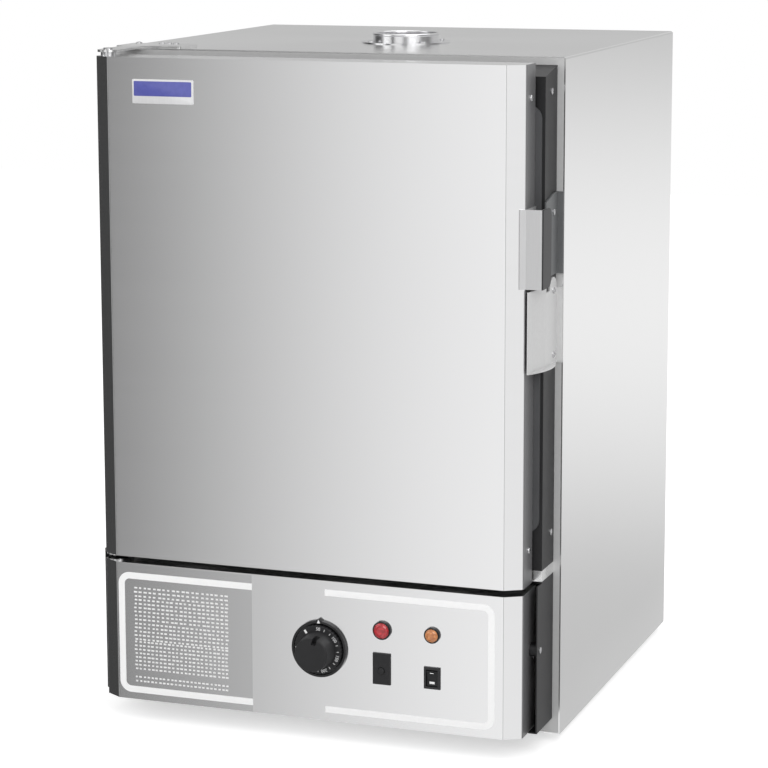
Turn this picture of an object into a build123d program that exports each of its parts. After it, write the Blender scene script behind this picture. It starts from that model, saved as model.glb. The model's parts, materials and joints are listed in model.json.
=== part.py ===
from build123d import *
import math
import os

# Dry heat sterilizer: a bench cabinet with a hinged door in front of a raised neck,
# a control panel under the door and an air vent on the roof.
# Millimetres. +X is the viewer's right, +Y runs to the back, +Z is up.
# The origin is the middle of the overall footprint, on the surface that the feet stand on.

# ---------------------------------------------------------------- driving dimensions
cabinet_width = 440.0
cabinet_depth = 400.0
cabinet_height = 620.0
foot_height = 8.0
sheet = 1.2                  # folded stainless sheet of the case, door and panel
bend_radius = 2.4            # outside radius of the case's folds

neck_inset = 7.3             # the neck is this much narrower than the case on each side
neck_depth = 37.0            # how far the neck stands in front of the case
neck_top_gap = 7.4           # from the case's top down to the neck's top, at the case
neck_top_fall = 7.6          # how far the neck's top slopes down towards its face
lower_neck_depth = 50.0
spacer_setback = 42.0        # tubes between the panel's flanges and the neck
spacer_lift = 76.0           # their axis above the panel's lower edge
spacer_radius = 6.0

fascia_proud = 75.5          # door and panel fronts, in front of the case
fascia_inset = 15.7          # door and panel are narrower than the case by this on each side
chamfer_width = 15.6
chamfer_depth = 9.5
panel_lift = 15.0            # panel's lower edge above the case's lower edge
panel_height = 131.5
panel_gap = 6.0              # between the control panel and the door
door_drop = 3.0              # door top below the case's top
panel_flange_end = 27.0      # panel's side flanges stop this far in front of the case
hinge_flange_cut = 3.7       # the door's hinge-side flange is shorter by this much
rail_height = 10.0
rail_lift = 0.5              # rail's underside above the door's bottom edge

gasket_thickness = 2.5
gasket_width = 20.0
gasket_inset = 10.0          # from the case's side
gasket_lift = 45.5           # above the door's lower edge
gasket_drop = 37.0           # below the door's top
gasket_corner = 12.0
gasket_to_liner = 3.0
seal_gap = 0.3

liner_sheet = 1.0
rear_wall_depth = 52.0       # from the chamber's back wall to the case's back
deck_below_liner = 53.0      # the deck closes the control space under the insulation
fit_gap = 0.5

vent_offset = 18.0           # the vent stands a little right of the middle
vent_bore_radius = 21.0
vent_flange_radius = 43.0
vent_collar_radius = 32.0
vent_collar_height = 7.0
vent_rim = 1.3
vent_plate_thickness = 1.0
shutter_openings = 4
shutter_pin_radius = 2.5

hinge_axis_inset = 5.8       # hinge axis inside the door's edge
hinge_axis_setback = 52.0    # hinge axis in front of the case
hinge_pin_radius = 3.0
running_clearance = 0.05
hinge_arm_half_width = 10.0
hinge_plate_thickness = 2.0
hinge_plate_width = 66.0
hinge_plate_depth = 44.0
lower_hinge_thickness = 2.8
hinge_screw_spacing = 6.0
hinge_screw_setback = 37.0
bush_wall = 1.2
bush_length = 22.0
washer_radius = 7.0
lower_washer = 1.2           # gap between the lower arm and the door, which the washer fills
pan_inset = 8.0              # the door's inner pan starts this far right of the hinge axis
pan_inner_depth = 24.0

handle_length = 70.0
handle_bottom = 269.5        # above the door's bottom edge
handle_sheet = 1.5
handle_lip = 6.0
handle_reach = 25.5          # depth of the outer leg
handle_leg = 26.0
handle_corner = 8.0
handle_screw_setback = 15.0
handle_screw_margin = 18.0
rivet_drop, rivet_lift = 29.5, 32.3  # from the door's top and lower edge
rivet_setback_upper, rivet_setback_lower = 54.0, 52.0

striker_lift = 275.5         # above the door's lower edge
striker_height = 73.0
striker_screw_lift = 56.0
catch_lift = 194.5
catch_height = 73.0
catch_screw_lift_low, catch_screw_lift_high = 9.0, 67.0
catch_leg_height = 68.0
catch_lobe_radius = 11.0
catch_lobe_setback = 13.0
catch_leaf_gap = 2.7         # leaf's free edge outside the door's edge
catch_leaf_reach = 70.0      # and in front of the case

knob_x, knob_lift = 14.2, 67.7       # lifts are above the panel's lower edge
knob_height = 24.0
knob_skirt_radius = 23.2
knob_skirt_thickness = 2.6
knob_hub_radius = 13.5
knob_tip_radius = 12.2
knob_flutes = 18
dial_ring_radius = 26.4
dial_ring_depth = 3.4
dial_ring_wall = 2.0
shaft_radius = 3.0

heat_lamp_x, power_lamp_x, lamp_lift = 74.6, 122.3, 90.5
heat_lamp_radius, power_lamp_radius = 8.6, 7.4
lamp_bezel_depth = 3.2
lamp_bezel_wall = 1.2
lens_proud = 6.0
lamp_stem_radius = 4.8
lamp_stem_length = 24.0

breaker_x, breaker_lift = 74.2, 54.4
breaker_width, breaker_height = 16.8, 29.2
breaker_body_depth = 26.0
button_lift = 53.0
button_radius = 3.0
button_travel = 3.0

rocker_x, rocker_lift = 122.3, 50.6
rocker_width, rocker_height = 15.4, 20.4
rocker_bezel_depth = 1.8
rocker_tilt = 7.0
rocker_body_depth = 20.0

shelf_levels = 4
first_ledge = 52.0           # above the chamber floor
top_ledge_room = 72.0        # over the highest ledge
ledge_width = 10.0
ledge_sheet = 1.2
shelf_front_gap = 42.0       # behind the neck's face
rail_front_gap, rail_back_gap = 40.0, 10.0
shelf_side_gap = 2.0
shelf_wire_radius = 1.6
shelf_frame_radius = 2.6
shelf_wires = 13
shelf_back_gap = 3.0
used_ledges = (1, 3)

floor_plate_lift = 22.0
floor_slot_rows, floor_slot_columns = 6, 4
floor_slot_length, floor_slot_width = 46.0, 9.0
heater_radius = 4.0
heater_spacing = 80.0
heater_lift = 11.0
heater_tail = 14.0
heater_front_gap, heater_back_gap = 90.0, 100.0

bulb_radius = 3.0
bulb_length = 100.0
bulb_wall_gap = 8.0          # bulb's axis from the chamber's side wall
bulb_roof_gap = 12.0
bulb_setback = 200.0         # bulb's near end behind the neck's face

foot_radius = 15.0
foot_inset = 36.0
gland_inset = 70.0           # from the case's side
gland_lift = 52.0            # above the case's lower edge
gland_reach = 18.0
gland_bore_radius = 4.0
gland_thread_radius = 8.0
gland_hex_radius = 12.0
back_slot_count = 7
back_slot_pitch = 9.0
back_slot_length, back_slot_width = 60.0, 4.0
back_slot_lift = 40.0
back_bank_pitch = 120.0
screw_head_radius = 3.0
screw_head_height = 1.6

# ---------------------------------------------------------------- planes
half_width = cabinet_width / 2
fascia_half_width = half_width - fascia_inset
case_bottom = foot_height
case_top = foot_height + cabinet_height
overall_depth = knob_height + fascia_proud + cabinet_depth + gland_reach
front = knob_height + fascia_proud - overall_depth / 2     # the case's front plane
back = front + cabinet_depth
neck_face = front - neck_depth
neck_half_width = half_width - neck_inset
fascia = front - fascia_proud
chamfer_back = fascia + chamfer_depth
flat_half_width = fascia_half_width - chamfer_width
panel_bottom = case_bottom + panel_lift
panel_top = panel_bottom + panel_height
door_bottom = panel_top + panel_gap
door_top = case_top - door_drop
rail_bottom = door_bottom + rail_lift
rail_top = rail_bottom + rail_height
gasket_face = neck_face - gasket_thickness
door_back = gasket_face - seal_gap
gasket_half_width = half_width - gasket_inset
gasket_bottom = door_bottom + gasket_lift
gasket_top = door_top - gasket_drop
hinge_axis_x = -(fascia_half_width - hinge_axis_inset)
hinge_axis_y = front - hinge_axis_setback
spacer_z = panel_bottom + spacer_lift
knob_z = panel_bottom + knob_lift
lamp_z = panel_bottom + lamp_lift
breaker_z = panel_bottom + breaker_lift
button_z = panel_bottom + button_lift
rocker_z = panel_bottom + rocker_lift
striker_bottom = door_bottom + striker_lift
catch_bottom = door_bottom + catch_lift
gland_x = half_width - gland_inset
gland_z = case_bottom + gland_lift

liner_half_width = gasket_half_width - gasket_width - gasket_to_liner
liner_bottom = gasket_bottom + gasket_width + gasket_to_liner
liner_top = gasket_top - gasket_width - gasket_to_liner
liner_back = back - rear_wall_depth + liner_sheet
chamber_half_width = liner_half_width - liner_sheet
chamber_bottom = liner_bottom + liner_sheet
chamber_top = liner_top - liner_sheet
chamber_back = liner_back - liner_sheet
deck_top = liner_bottom - deck_below_liner
shelf_pitch = (chamber_top - chamber_bottom - first_ledge - top_ledge_room) / (shelf_levels - 1)
vent_y = (neck_face + chamber_back) / 2
vent_plate_z = case_top + vent_plate_thickness
inner_half_width = half_width - sheet
heater_z = chamber_bottom + heater_lift
bulb_x = -chamber_half_width + bulb_wall_gap
bulb_y = neck_face + bulb_setback
bulb_z = chamber_top - bulb_roof_gap
bush_radius = hinge_pin_radius + bush_wall
pan_left = hinge_axis_x + pan_inset
rocker_axis_y = fascia + 1.5


# ---------------------------------------------------------------- shared shapes
def block(x0, x1, y0, y1, z0, z1):
    """A rectangular solid between two opposite corners."""
    centre = Pos((x0 + x1) / 2, (y0 + y1) / 2, (z0 + z1) / 2)
    return centre * Box(x1 - x0, y1 - y0, z1 - z0)


def upright(x, y, z0, z1, radius):
    """A cylinder that stands along Z."""
    return Pos(x, y, (z0 + z1) / 2) * Cylinder(radius, z1 - z0)


def facing(x, z, y0, y1, radius):
    """A cylinder that lies along Y."""
    return Pos(x, (y0 + y1) / 2, z) * Rot(90, 0, 0) * Cylinder(radius, y1 - y0)


def across(y, z, x0, x1, radius):
    """A cylinder that lies along X."""
    return Pos((x0 + x1) / 2, y, z) * Rot(0, 90, 0) * Cylinder(radius, x1 - x0)


def plan(points, z0, z1):
    """A prism on an outline in the XY plane."""
    outline = make_face(Polyline(*points, close=True))
    return Pos(0, 0, z0) * extrude(outline, z1 - z0)


def side_profile(points, x0, x1):
    """A prism along X on an outline of (y, z) points."""
    outline = make_face(Plane.YZ * Polyline(*points, close=True))
    return Pos(x0, 0, 0) * extrude(outline, x1 - x0, dir=(1, 0, 0))


def front_profile(outline, y0, y1):
    """A prism along Y on a sketch of (x, z) points."""
    placed = Plane.XZ * outline
    return Pos(0, y0, 0) * extrude(placed, y1 - y0, dir=(0, 1, 0))


def turned(profile_points, x, z, y):
    """A body of revolution about Y; its points are (radius, distance in front of y)."""
    outline = make_face(Polyline(*profile_points, close=True))
    solid = revolve(outline, Axis.Y)
    return Pos(x, y, z) * Rot(180, 0, 0) * solid


def folded_tray(solid, opening):
    """A sheet tray: the solid hollowed to one sheet's thickness, open on one face."""
    return offset(solid, -sheet, openings=opening)


def button_head(direction, x, y, z):
    """A domed screw head on a face that looks along +X, -X, +Y, -Y or +Z."""
    dome = Cylinder(screw_head_radius, screw_head_height, align=(Align.CENTER, Align.CENTER, Align.MIN))
    rim = dome.faces().sort_by(Axis.Z)[-1].edges()
    dome = fillet(rim, screw_head_height * 0.6)
    turns = {"+X": Rot(0, 90, 0), "-X": Rot(0, -90, 0), "+Y": Rot(-90, 0, 0),
             "-Y": Rot(90, 0, 0), "+Z": Pos(0, 0, 0)}
    return Pos(x, y, z) * turns[direction] * dome


def both_sides(solids):
    """The solids and their mirror images on the other side of the cabinet."""
    return solids + [mirror(solid, about=Plane.YZ) for solid in solids]


parts = {}


# ---------------------------------------------------------------- case
def make_outer_wrapper():
    """Roof and two sides in one folded sheet, with lips turned in under the sides."""
    lip = 15.0
    body = block(-half_width, half_width, front, back, case_bottom, case_top)
    upper = body.edges().filter_by(Axis.Y).group_by(Axis.Z)[-1]
    body = fillet(upper, bend_radius)
    hollow = block(-inner_half_width, inner_half_width, front, back,
                   case_bottom + sheet, case_top - sheet)
    below = block(-half_width + lip, half_width - lip, front, back,
                  case_bottom, case_bottom + sheet)
    vent = upright(vent_offset, vent_y, case_top - 5, case_top + 5, vent_bore_radius + liner_sheet)
    return body - hollow - below - vent


def make_front_plate():
    """Light frame behind the neck, with a window for the chamber and one for the controls."""
    margin = 12.0
    window = neck_half_width - margin
    plate = block(-inner_half_width, inner_half_width, front, front + sheet,
                  case_bottom + sheet, case_top - sheet)
    upper = block(-window, window, front, front + sheet,
                  rail_top + margin, case_top - neck_top_gap - neck_top_fall - margin)
    lower = block(-window, window, front, front + sheet,
                  panel_bottom + margin, rail_bottom - margin)
    return plate - upper - lower


def make_back_panel():
    """Rear cover with two banks of cooling slots behind the controls and the cable hole."""
    plate = block(-inner_half_width, inner_half_width, back - sheet, back,
                  case_bottom + sheet, case_top - sheet)
    outline = SlotOverall(back_slot_length, back_slot_width)
    for bank_x in (-back_bank_pitch, 0):
        for row in range(back_slot_count):
            z = case_bottom + back_slot_lift + row * back_slot_pitch
            plate -= front_profile(Pos(bank_x, z) * outline, back - sheet, back)
    return plate - facing(gland_x, gland_z, back - sheet, back, gland_thread_radius)


def make_base_pan():
    """Floor of the case, with front and rear edges turned up and holes over the feet."""
    turned_up = 14.0
    y0, y1 = front + sheet, back - sheet
    z0 = case_bottom + sheet
    outline = [(y0, z0), (y1, z0), (y1, z0 + turned_up), (y1 - sheet, z0 + turned_up),
               (y1 - sheet, z0 + sheet), (y0 + sheet, z0 + sheet),
               (y0 + sheet, z0 + turned_up), (y0, z0 + turned_up)]
    pan = side_profile(outline, -inner_half_width, inner_half_width)
    for x, y in foot_places():
        pan -= upright(x, y, case_bottom, z0 + sheet, 2.6)
    return pan


def foot_places():
    """Where the four feet stand."""
    x = half_width - foot_inset
    return [(sx * x, y) for sx in (-1, 1) for y in (front + foot_inset, back - foot_inset)]


def make_deck_plate():
    """Plate over the control space that carries the insulation."""
    plate = block(-inner_half_width, inner_half_width, front + sheet, back - sheet,
                  deck_top - sheet, deck_top)
    return plate - upright(-half_width + 50, back - 25, deck_top - sheet, deck_top, 10)


def make_neck():
    """Raised frame round the chamber's mouth; its top slopes down towards the face."""
    neck_top = case_top - neck_top_gap
    outline = [(front, rail_top), (front, neck_top),
               (neck_face, neck_top - neck_top_fall), (neck_face, rail_top)]
    solid = side_profile(outline, -neck_half_width, neck_half_width)
    rear = solid.faces().sort_by(Axis.Y)[-1]
    frame = folded_tray(solid, rear)
    mouth = block(-liner_half_width, liner_half_width, neck_face - 1, neck_face + sheet + 1,
                  liner_bottom, liner_top)
    return frame - mouth


def make_divider_rail():
    """Bright channel under the neck, which carries the lower hinge."""
    solid = block(-neck_half_width, neck_half_width, neck_face, front, rail_bottom, rail_top)
    return folded_tray(solid, solid.faces().sort_by(Axis.Y)[-1])


def make_lower_neck():
    """Dark side cheeks and floor behind the control panel."""
    ledge = door_bottom - 1
    outline = [(front, panel_bottom), (front, rail_bottom), (neck_face, rail_bottom), (neck_face, ledge),
               (front - lower_neck_depth, ledge), (front - lower_neck_depth, panel_bottom)]
    solid = side_profile(outline, -neck_half_width, neck_half_width)
    inner = neck_half_width - sheet
    hollow = block(-inner, inner, front - lower_neck_depth, front, panel_bottom + sheet, rail_bottom)
    panel_side = fascia_half_width + fit_gap
    panel_end = front - panel_flange_end + fit_gap
    clear = block(-panel_side, panel_side, front - lower_neck_depth - 1, panel_end,
                  panel_bottom, panel_bottom + sheet)
    return solid - hollow - clear


def make_neck_screws():
    """Screws in the neck's cheeks, and the long ones that hold the panel's spacers."""
    spots = [(front - 18.4, door_top - 26), (front - 10.6, rail_top + 30),
             (front - spacer_setback, spacer_z)]
    right = [button_head("+X", neck_half_width, y, z) for y, z in spots]
    return both_sides(right)


def make_fascia_spacers():
    """Tubes that hold the panel's flanges off the neck's cheeks."""
    spacer = across(front - spacer_setback, spacer_z, fascia_half_width, neck_half_width - sheet, spacer_radius)
    spacer -= across(front - spacer_setback, spacer_z, fascia_half_width - 1, neck_half_width, 2.2)
    return both_sides([spacer])


# ---------------------------------------------------------------- chamber
def make_chamber_liner():
    """Welded chamber box, open at the neck's face, with holes for the vent and the heater."""
    solid = block(-liner_half_width, liner_half_width, neck_face, liner_back, liner_bottom, liner_top)
    upright_edges = solid.edges().filter_by(Axis.Z).group_by(Axis.Y)[-1]
    solid = fillet(upright_edges, 6.0)
    mouth = solid.faces().sort_by(Axis.Y)[0]
    box = offset(solid, -liner_sheet, openings=mouth)
    box -= upright(vent_offset, vent_y, liner_top - 5, liner_top + 5, vent_bore_radius + liner_sheet)
    for x in heater_tails_x():
        box -= facing(x, heater_z, chamber_back - 8, liner_back + 1, heater_radius)
    return box


def make_insulation():
    """Mineral wool slabs on the five closed sides of the chamber."""
    wall = inner_half_width - fit_gap
    y0, y1 = front + sheet + fit_gap, back - sheet - fit_gap
    z0, z1 = deck_top, case_top - sheet - fit_gap
    rear = liner_back + fit_gap
    right = block(liner_half_width + fit_gap, wall, y0, rear, z0, z1)
    inner = liner_half_width + fit_gap
    over = block(-inner, inner, y0, rear, liner_top + fit_gap, z1)
    over -= upright(vent_offset, vent_y, liner_top, case_top, vent_bore_radius + liner_sheet + fit_gap)
    under = block(-inner, inner, y0, rear, z0, liner_bottom - fit_gap)
    behind = block(-wall, wall, rear, y1, z0, z1)
    for x in heater_tails_x():
        behind -= facing(x, heater_z, rear - 1, rear + heater_tail, heater_radius + fit_gap)
    return both_sides([right]) + [over, under, behind]


def make_neck_gasket():
    """Flat silicone seal with rounded corners on the neck's face, round the mouth."""
    middle = (gasket_bottom + gasket_top) / 2
    height = gasket_top - gasket_bottom
    outer = RectangleRounded(2 * gasket_half_width, height, gasket_corner)
    inner = RectangleRounded(2 * (gasket_half_width - gasket_width),
                             height - 2 * gasket_width, gasket_corner / 2)
    return front_profile(Pos(0, middle) * (outer - inner), gasket_face, neck_face)


def make_shelf_rail():
    """Right-hand ladder: a pressed strip with one ledge a level, folded from the same sheet."""
    y0, y1 = neck_face + rail_front_gap, chamber_back - rail_back_gap
    x1 = chamber_half_width
    x0 = x1 - ledge_sheet
    z0 = chamber_bottom + first_ledge - 16
    z1 = chamber_bottom + first_ledge + (shelf_levels - 1) * shelf_pitch + 16
    strip = block(x0, x1, y0, y1, z0, z1)
    for level in range(shelf_levels):
        z = chamber_bottom + first_ledge + level * shelf_pitch
        strip += block(x0 - ledge_width, x0, y0, y1, z - ledge_sheet, z)
    return strip


def make_floor_plate():
    """Slotted plate over the heater, standing on folded side legs."""
    side = chamber_half_width - shelf_side_gap
    top = chamber_bottom + floor_plate_lift
    y0, y1 = neck_face + 6, chamber_back - 4
    outline = Polyline((-side, chamber_bottom), (-side, top), (side, top), (side, chamber_bottom),
                       (side - sheet, chamber_bottom), (side - sheet, top - sheet),
                       (-side + sheet, top - sheet), (-side + sheet, chamber_bottom), close=True)
    plate = front_profile(make_face(outline), y0, y1)
    pitch_x = 2 * side / floor_slot_columns
    pitch_y = (y1 - y0) / floor_slot_rows
    slot = extrude(SlotOverall(floor_slot_length, floor_slot_width), 3 * sheet)
    for column in range(floor_slot_columns):
        for row in range(floor_slot_rows):
            x = -side + (column + 0.5) * pitch_x
            y = y0 + (row + 0.5) * pitch_y
            plate -= Pos(x, y, top - 2 * sheet) * slot
    return plate


def heater_tails_x():
    """The two places where the heater leaves through the back wall."""
    return (-1.5 * heater_spacing, 1.5 * heater_spacing)


def make_heater_element():
    """Sheathed heater rod: four runs joined by half-circle bends, tails through the back."""
    bend = heater_spacing / 2
    near, far = neck_face + heater_front_gap, chamber_back - heater_back_gap
    end = liner_back + heater_tail
    x = [(-1.5 + run) * heater_spacing for run in range(4)]
    path = Line((x[0], end), (x[0], near))
    path += ThreePointArc((x[0], near), (x[0] + bend, near - bend), (x[1], near))
    path += Line((x[1], near), (x[1], far))
    path += ThreePointArc((x[1], far), (x[1] + bend, far + bend), (x[2], far))
    path += Line((x[2], far), (x[2], near))
    path += ThreePointArc((x[2], near), (x[2] + bend, near - bend), (x[3], near))
    path += Line((x[3], near), (x[3], end))
    section = Plane(origin=(x[0], end, 0), z_dir=(0, -1, 0)) * Circle(heater_radius)
    return Pos(0, 0, heater_z) * sweep(section, path=path)


def make_heater_flanges():
    """Sealing rings on the back wall where the heater passes."""
    ring_radius, ring_depth = 9.0, 3.0
    rings = []
    for x in heater_tails_x():
        ring = facing(x, heater_z, chamber_back - ring_depth, chamber_back, ring_radius)
        ring -= facing(x, heater_z, chamber_back - ring_depth - 1, chamber_back + 1, heater_radius)
        rings.append(ring)
    return rings


def make_thermostat_bulb():
    """Sensing bulb along the chamber's upper left edge."""
    bulb = facing(bulb_x, bulb_z, bulb_y, bulb_y + bulb_length, bulb_radius)
    ends = bulb.edges().filter_by(GeomType.CIRCLE)
    return fillet(ends, 1.2)


def make_bulb_clips():
    """Two clips that hold the bulb to the chamber's side wall."""
    clips = []
    for y in (bulb_y + 20, bulb_y + bulb_length - 28):
        clip = facing(bulb_x, bulb_z, y, y + 8, bulb_radius + 1)
        clip += block(-chamber_half_width, bulb_x, y, y + 8, bulb_z - bulb_radius - 1, bulb_z - bulb_radius)
        clip += block(-chamber_half_width, -chamber_half_width + 1, y, y + 8,
                      bulb_z - bulb_radius - 12, bulb_z - bulb_radius)
        clips.append(clip - facing(bulb_x, bulb_z, y - 1, y + 9, bulb_radius))
    return clips


# ---------------------------------------------------------------- vent
def sector_openings(z0, z1):
    """Four sector-shaped air openings in a disc of the vent."""
    inner, outer, sweep_angle = 8.0, 25.0, 38.0
    steps = []
    for number in range(shutter_openings):
        start = number * 360 / shutter_openings
        a0, a1 = math.radians(start), math.radians(start + sweep_angle)
        middle = (a0 + a1) / 2
        spot = [(r * math.cos(a), r * math.sin(a)) for r, a in
                ((inner, a0), (outer, a0), (outer, middle), (outer, a1), (inner, a1), (inner, middle))]
        edge = Line(spot[0], spot[1]) + ThreePointArc(spot[1], spot[2], spot[3])
        edge += Line(spot[3], spot[4]) + ThreePointArc(spot[4], spot[5], spot[0])
        steps.append(Pos(vent_offset, vent_y, z0) * extrude(make_face(edge), z1 - z0))
    return steps


def make_vent_pipe():
    """Tube from the chamber's roof up to the case's top."""
    tube = upright(vent_offset, vent_y, chamber_top, case_top, vent_bore_radius + liner_sheet)
    return tube - upright(vent_offset, vent_y, chamber_top - 1, case_top + 1, vent_bore_radius)


def make_vent_flange():
    """Spun flange and collar with a rolled rim, and a fixed disc with four openings."""
    r, h = vent_collar_radius, vent_collar_height
    t = vent_plate_thickness
    profile = [(0, t), (vent_flange_radius, t), (vent_flange_radius, 0), (0, 0)]
    base = revolve(make_face(Plane.XZ * Polyline(*profile, close=True)), Axis.Z)
    ring = Cylinder(r, h, align=(Align.CENTER, Align.CENTER, Align.MIN))
    ring -= Cylinder(r - vent_rim, h, align=(Align.CENTER, Align.CENTER, Align.MIN))
    bead = Pos(0, 0, h) * Torus(r - vent_rim / 2, vent_rim)
    flange = base + Pos(0, 0, vent_plate_thickness) * (ring + bead)
    flange = Pos(vent_offset, vent_y, case_top) * flange
    for opening in sector_openings(case_top - 1, vent_plate_z + 1):
        flange -= opening
    return flange


def make_vent_shutter():
    """Turning disc on the fixed one, with a finger tab."""
    z0 = vent_plate_z + seal_gap
    z1 = z0 + 1.0
    disc = upright(vent_offset, vent_y, z0, z1, vent_collar_radius - vent_rim - 1.2)
    for opening in sector_openings(z0 - 1, z1 + 1):
        disc -= opening
    tab_angle = math.radians(65)
    tab = Pos(vent_offset, vent_y, 0) * Rot(0, 0, math.degrees(tab_angle)) * block(12, 24, -0.8, 0.8, z1, z1 + 4.5)
    disc += tab
    return disc - upright(vent_offset, vent_y, z0 - 1, z1 + 1, shutter_pin_radius + running_clearance)


def make_shutter_pivot():
    """Rivet on which the shutter turns."""
    z0 = vent_plate_z
    top = z0 + seal_gap + 1.0 + seal_gap
    stem = upright(vent_offset, vent_y, z0, top, shutter_pin_radius)
    return stem + upright(vent_offset, vent_y, top, top + 1.2, shutter_pin_radius + 2.5)


def make_vent_screws():
    """Screws through the vent's flange."""
    radius = (vent_flange_radius + vent_collar_radius) / 2
    spots = [math.radians(45 + 90 * n) for n in range(4)]
    return [button_head("+Z", vent_offset + radius * math.cos(a), vent_y + radius * math.sin(a), vent_plate_z)
            for a in spots]


# ---------------------------------------------------------------- door
def folded_front(z0, z1, flange_back):
    """The shape that door and panel share: flat front, chamfers and side flanges."""
    w, f = fascia_half_width, flat_half_width
    outline = [(-w, flange_back), (-w, chamfer_back), (-f, fascia), (f, fascia),
               (w, chamfer_back), (w, flange_back)]
    solid = plan(outline, z0, z1)
    folds = [edge for edge in solid.edges().filter_by(Axis.Z) if edge.center().Y < flange_back - 1]
    return fillet(folds, bend_radius)


def make_door_skin():
    """Outer sheet of the door, with a shorter flange on the hinge side."""
    solid = folded_front(door_bottom, door_top, door_back)
    skin = folded_tray(solid, solid.faces().sort_by(Axis.Y)[-1])
    stile_back = door_back - hinge_flange_cut
    skin -= block(-fascia_half_width - 1, pan_left - fit_gap, stile_back, door_back + 1,
                  door_bottom - 1, door_top + 1)
    skin += block(-fascia_half_width, pan_left - fit_gap, stile_back - sheet, stile_back,
                  door_bottom, door_top)
    for z in (door_bottom, door_top):
        skin -= upright(hinge_axis_x, hinge_axis_y, z - sheet - 0.1, z + sheet + 0.1, hinge_pin_radius + fit_gap)
    return skin


def make_door_inner_pan():
    """Inner sheet of the door, a shallow tray whose back seals on the gasket."""
    side = fascia_half_width - sheet - fit_gap
    z0, z1 = door_bottom + sheet + fit_gap, door_top - sheet - fit_gap
    solid = block(pan_left, side, door_back - pan_inner_depth, door_back, z0, z1)
    rear_edges = solid.edges().filter_by(Axis.Z).group_by(Axis.Y)[-1].sort_by(Axis.X)[-1]
    solid = fillet(rear_edges, 1.5)
    return folded_tray(solid, solid.faces().sort_by(Axis.Y)[0])


def make_door_insulation():
    """Wool slab between the door's two sheets, short of the hinge bushes."""
    left = pan_left + sheet + fit_gap
    right = fascia_half_width - 2 * sheet - 2 * fit_gap - chamfer_width
    return block(left, right, fascia + sheet + fit_gap, door_back - sheet - fit_gap,
                 door_bottom + 2 * sheet + 2 * fit_gap, door_top - 2 * sheet - 2 * fit_gap)


def make_hinge_bushes():
    """Bearing bushes inside the door's top and bottom corners."""
    bushes = []
    for z0, z1 in ((door_bottom + sheet, door_bottom + sheet + bush_length),
                   (door_top - sheet - bush_length, door_top - sheet)):
        bush = upright(hinge_axis_x, hinge_axis_y, z0, z1, bush_radius)
        bushes.append(bush - upright(hinge_axis_x, hinge_axis_y, z0 - 1, z1 + 1,
                                     hinge_pin_radius + running_clearance))
    return bushes


def make_hinge_washers():
    """Thrust washers between the door and the hinge arms."""
    washers = []
    lower_arm_top = door_bottom - lower_washer
    for z0, z1 in ((lower_arm_top + 0.1, door_bottom), (door_top, case_top - seal_gap)):
        ring = upright(hinge_axis_x, hinge_axis_y, z0, z1, washer_radius)
        washers.append(ring - upright(hinge_axis_x, hinge_axis_y, z0 - 1, z1 + 1,
                                      hinge_pin_radius + running_clearance))
    return washers


def make_door_handle():
    """Pull of bent sheet: a leg on the door's flange, a face with a lip on the chamfer, and an
    outer leg with rounded corners that the fingers hook behind."""
    t = handle_sheet
    z0 = door_bottom + handle_bottom
    z1 = z0 + handle_length
    w = fascia_half_width
    slope = math.hypot(chamfer_width, chamfer_depth)
    along = (-chamfer_width / slope, -chamfer_depth / slope)
    out = (-along[1], along[0])
    corner = (w, chamfer_back)
    tip = (corner[0] + handle_lip * along[0], corner[1] + handle_lip * along[1])
    lip = plan([corner, tip, (tip[0] + t * out[0], tip[1] + t * out[1]),
                (corner[0] + t * out[0], corner[1] + t * out[1])], z0, z1)
    face = block(w, half_width, chamfer_back - t, chamfer_back, z0, z1)
    outer_leg = block(half_width - t, half_width, chamfer_back - t, chamfer_back + handle_reach, z0, z1)
    rear_corners = outer_leg.edges().filter_by(Axis.X).group_by(Axis.Y)[-1]
    outer_leg = fillet(rear_corners, handle_corner)
    inner_leg = block(w, w + t, chamfer_back - t, chamfer_back + handle_leg, z0, z1)
    handle = face + outer_leg + inner_leg + lip
    bend = [edge for edge in handle.edges().filter_by(Axis.Z)
            if abs(edge.center().X - half_width) < 0.01 and edge.center().Y < chamfer_back - t + 0.01]
    return fillet(bend, bend_radius)


def make_handle_screws():
    """Screws through the handle's inner leg into the door's flange."""
    x = fascia_half_width + handle_sheet
    y = chamfer_back + handle_screw_setback
    lifts = (handle_screw_margin, handle_length - handle_screw_margin)
    return [button_head("+X", x, y, door_bottom + handle_bottom + lift) for lift in lifts]


def make_door_rivets():
    """Rivets that join the door's two sheets at the flanges."""
    spots = [(front - rivet_setback_upper, door_top - rivet_drop),
             (front - rivet_setback_lower, door_bottom + rivet_lift)]
    return both_sides([button_head("+X", fascia_half_width, y, z) for y, z in spots])


# ---------------------------------------------------------------- hinges and catch
def arm_outline(rear_y):
    """Plan of a hinge arm: round round the pin, straight back to rear_y."""
    r = hinge_arm_half_width
    x0, x1 = hinge_axis_x - r, hinge_axis_x + r
    arm = Line((x1, hinge_axis_y), (x1, rear_y)) + Line((x1, rear_y), (x0, rear_y))
    arm += Line((x0, rear_y), (x0, hinge_axis_y))
    arm += ThreePointArc((x0, hinge_axis_y), (hinge_axis_x, hinge_axis_y - r), (x1, hinge_axis_y))
    return make_face(arm)


def make_hinge_bracket_upper():
    """Plate on the case's roof with an arm that reaches over the door."""
    z0, z1 = case_top, case_top + hinge_plate_thickness
    x0 = -half_width + bend_radius + 1
    plate = block(x0, x0 + hinge_plate_width, front + 2, front + hinge_plate_depth, z0, z1)
    plate = fillet(plate.edges().filter_by(Axis.Z), 3.0)
    arm = Pos(0, 0, z0) * extrude(arm_outline(front + hinge_plate_depth / 2), hinge_plate_thickness)
    bracket = plate + arm
    return bracket - upright(hinge_axis_x, hinge_axis_y, z0 - 1, z1 + 1, hinge_pin_radius)


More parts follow.
